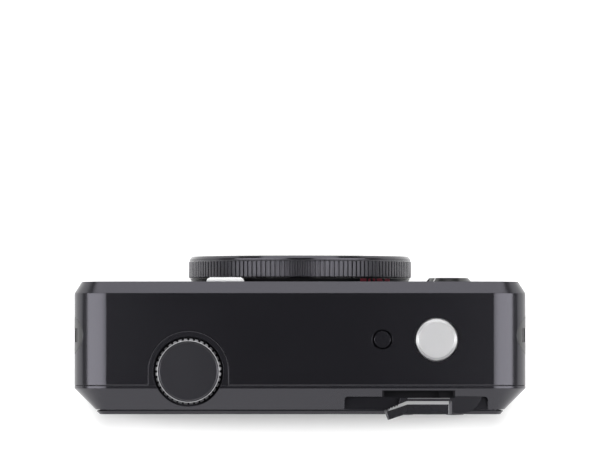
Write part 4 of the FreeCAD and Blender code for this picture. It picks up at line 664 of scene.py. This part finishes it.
# The stage: a sheet of pale paper that the camera stands on, and a white surround.
# The paper takes the camera's real shadow, its own glow is lowered round the camera's footprint as
# a painted contact shadow, and it is clear from below, so that the base can be seen too.
FLOOR_SIZE, FLOOR_DROP = 3.0, 0.0002
bpy.ops.object.select_all(action="DESELECT")
bpy.ops.mesh.primitive_plane_add(size=FLOOR_SIZE, location=(0, 0, -FLOOR_DROP))
floor = bpy.context.active_object
floor.name = "floor"
paper = bpy.data.materials.new("paper")
paper.use_nodes = True
tree = paper.node_tree
mottle = added(tree, "TexNoise", {"Scale": 20.0}).outputs["Fac"]
tone = added(tree, "MapRange", {"Value": mottle, "To Min": 0.79, "To Max": 0.81}).outputs["Result"]
shader = fill(tree, tree.nodes["Principled BSDF"],
              {"Roughness": 0.9, "Specular IOR Level": 0.0, "Base Color": tone})


def reach_from(tree, centre, half):
    """The output of the distance from a block that stands on the floor."""
    away = vector_maths(tree, "ABSOLUTE", own_place(tree, centre))
    past = vector_maths(tree, "SUBTRACT", away, half)
    return vector_maths(tree, "LENGTH", vector_maths(tree, "MAXIMUM", past, (0.0, 0.0, 0.0)))


def seen_by(tree, *kinds):
    """The output that is 1 for the kinds of ray named, and 0 for the others."""
    path = added(tree, "LightPath").outputs
    seen = path[kinds[0]]
    for kind in kinds[1:]:
        seen = maths(tree, "MAXIMUM", seen, path[kind])
    return seen


# The glow is lowest at the camera's footprint and rises away from it: a painted contact shadow.
PAINTED_SHADOW_REACH, PAINTED_SHADOW_GLOW, PAPER_GLOW, FAR_GLOW = 0.0105, 0.10, 0.72, 0.35
near_by = reach_from(tree, (0.0, -0.00875, 0.0), (0.0545, 0.00875, 1.0))
painted_contact_shadow = added(tree, "MapRange", {"Value": near_by, "From Max": PAINTED_SHADOW_REACH,
                                   "To Min": PAINTED_SHADOW_GLOW, "To Max": PAPER_GLOW},
                interpolation_type="SMOOTHSTEP").outputs["Result"]
far_off = reach_from(tree, (0.0, 0.0, 0.0), (0.06, 0.02, 1.0))
afar = added(tree, "MapRange", {"Value": far_off, "From Min": 0.05, "From Max": 0.35,
                                "To Max": FAR_GLOW}).outputs["Result"]
seen = seen_by(tree, "Is Camera Ray", "Is Transmission Ray", "Is Glossy Ray")
lift = maths(tree, "MULTIPLY", seen, maths(tree, "ADD", painted_contact_shadow, afar))
glow = added(tree, "Emission", {"Color": (1, 1, 1, 1), "Strength": lift}).outputs["Emission"]
lit = added(tree, "AddShader", {0: shader.outputs["BSDF"], 1: glow}).outputs["Shader"]
one_way = added(tree, "MixShader", {"Fac": added(tree, "NewGeometry").outputs["Backfacing"], 1: lit,
                                    2: added(tree, "BsdfTransparent").outputs["BSDF"]})
fill(tree, tree.nodes["Material Output"], {"Surface": one_way.outputs["Shader"]})
floor.data.materials.append(paper)

# The surround: white to the eye and through glass, a plain soft fill on the object,
# and for gloss a grey horizon that darkens towards the ceiling.
FILL, HORIZON, CEILING = 0.10, 0.45, 0.06
world = bpy.data.worlds.new("surround")
bpy.context.scene.world = world
world.use_nodes = True
tree = world.node_tree
rise = added(tree, "SeparateXYZ", {0: added(tree, "TexCoord").outputs["Generated"]}).outputs["Z"]
room = added(tree, "MapRange", {"Value": rise, "From Min": 0.05, "From Max": 0.55,
                                "To Min": HORIZON, "To Max": CEILING}).outputs["Result"]
mirrored = added(tree, "Mix", {"Factor": seen_by(tree, "Is Glossy Ray"), "A": FILL, "B": room})
strength = added(tree, "Mix", {"Factor": seen_by(tree, "Is Camera Ray", "Is Transmission Ray"),
                               "A": mirrored.outputs["Result"], "B": 1.0})
fill(tree, tree.nodes["Background"], {"Color": (1, 1, 1, 1),
                                      "Strength": strength.outputs["Result"]})

# The lamps: two long soft boxes over the left and right ends of the camera,
# and a broad one in front and one behind, all turned to the middle of the top plate.
AIM = Vector((0.0, 0.0, PLATE_Z))
for name, at, wide, tall, power in (("lamp_left", (-0.36, 0.0, 0.46), 0.16, 0.6, 2.0),
                                    ("lamp_right", (0.36, 0.0, 0.46), 0.16, 0.6, 2.0),
                                    ("lamp_front", (0.0, 0.70, 0.36), 1.2, 0.25, 3.25),
                                    ("lamp_rear", (0.0, -0.80, 0.15), 1.2, 0.25, 1.05)):
    lamp = bpy.data.lights.new(name, "AREA")
    lamp.shape = "RECTANGLE"
    lamp.size = wide
    lamp.size_y = tall
    lamp.energy = power
    holder = bpy.data.objects.new(name, lamp)
    holder.location = at
    holder.rotation_euler = (AIM - Vector(at)).to_track_quat("-Z", "Y").to_euler()
    bpy.context.collection.objects.link(holder)

# The viewpoint: a long lens high over the top plate,
# which leans a little towards the front of the camera.
HEIGHT, FORWARD, LEAN = 2.091, 0.0007, radians(0.9435)
camera_data = bpy.data.cameras.new("camera")
camera_data.lens = 438.5
camera_data.sensor_width = 36
camera_data.clip_end = 10
camera = bpy.data.objects.new("camera", camera_data)
camera.location = (0, FORWARD, HEIGHT)
camera.rotation_euler = (LEAN, 0.0, 0.0)
bpy.context.collection.objects.link(camera)
bpy.context.scene.camera = camera
bpy.context.scene.view_settings.view_transform = "Standard"
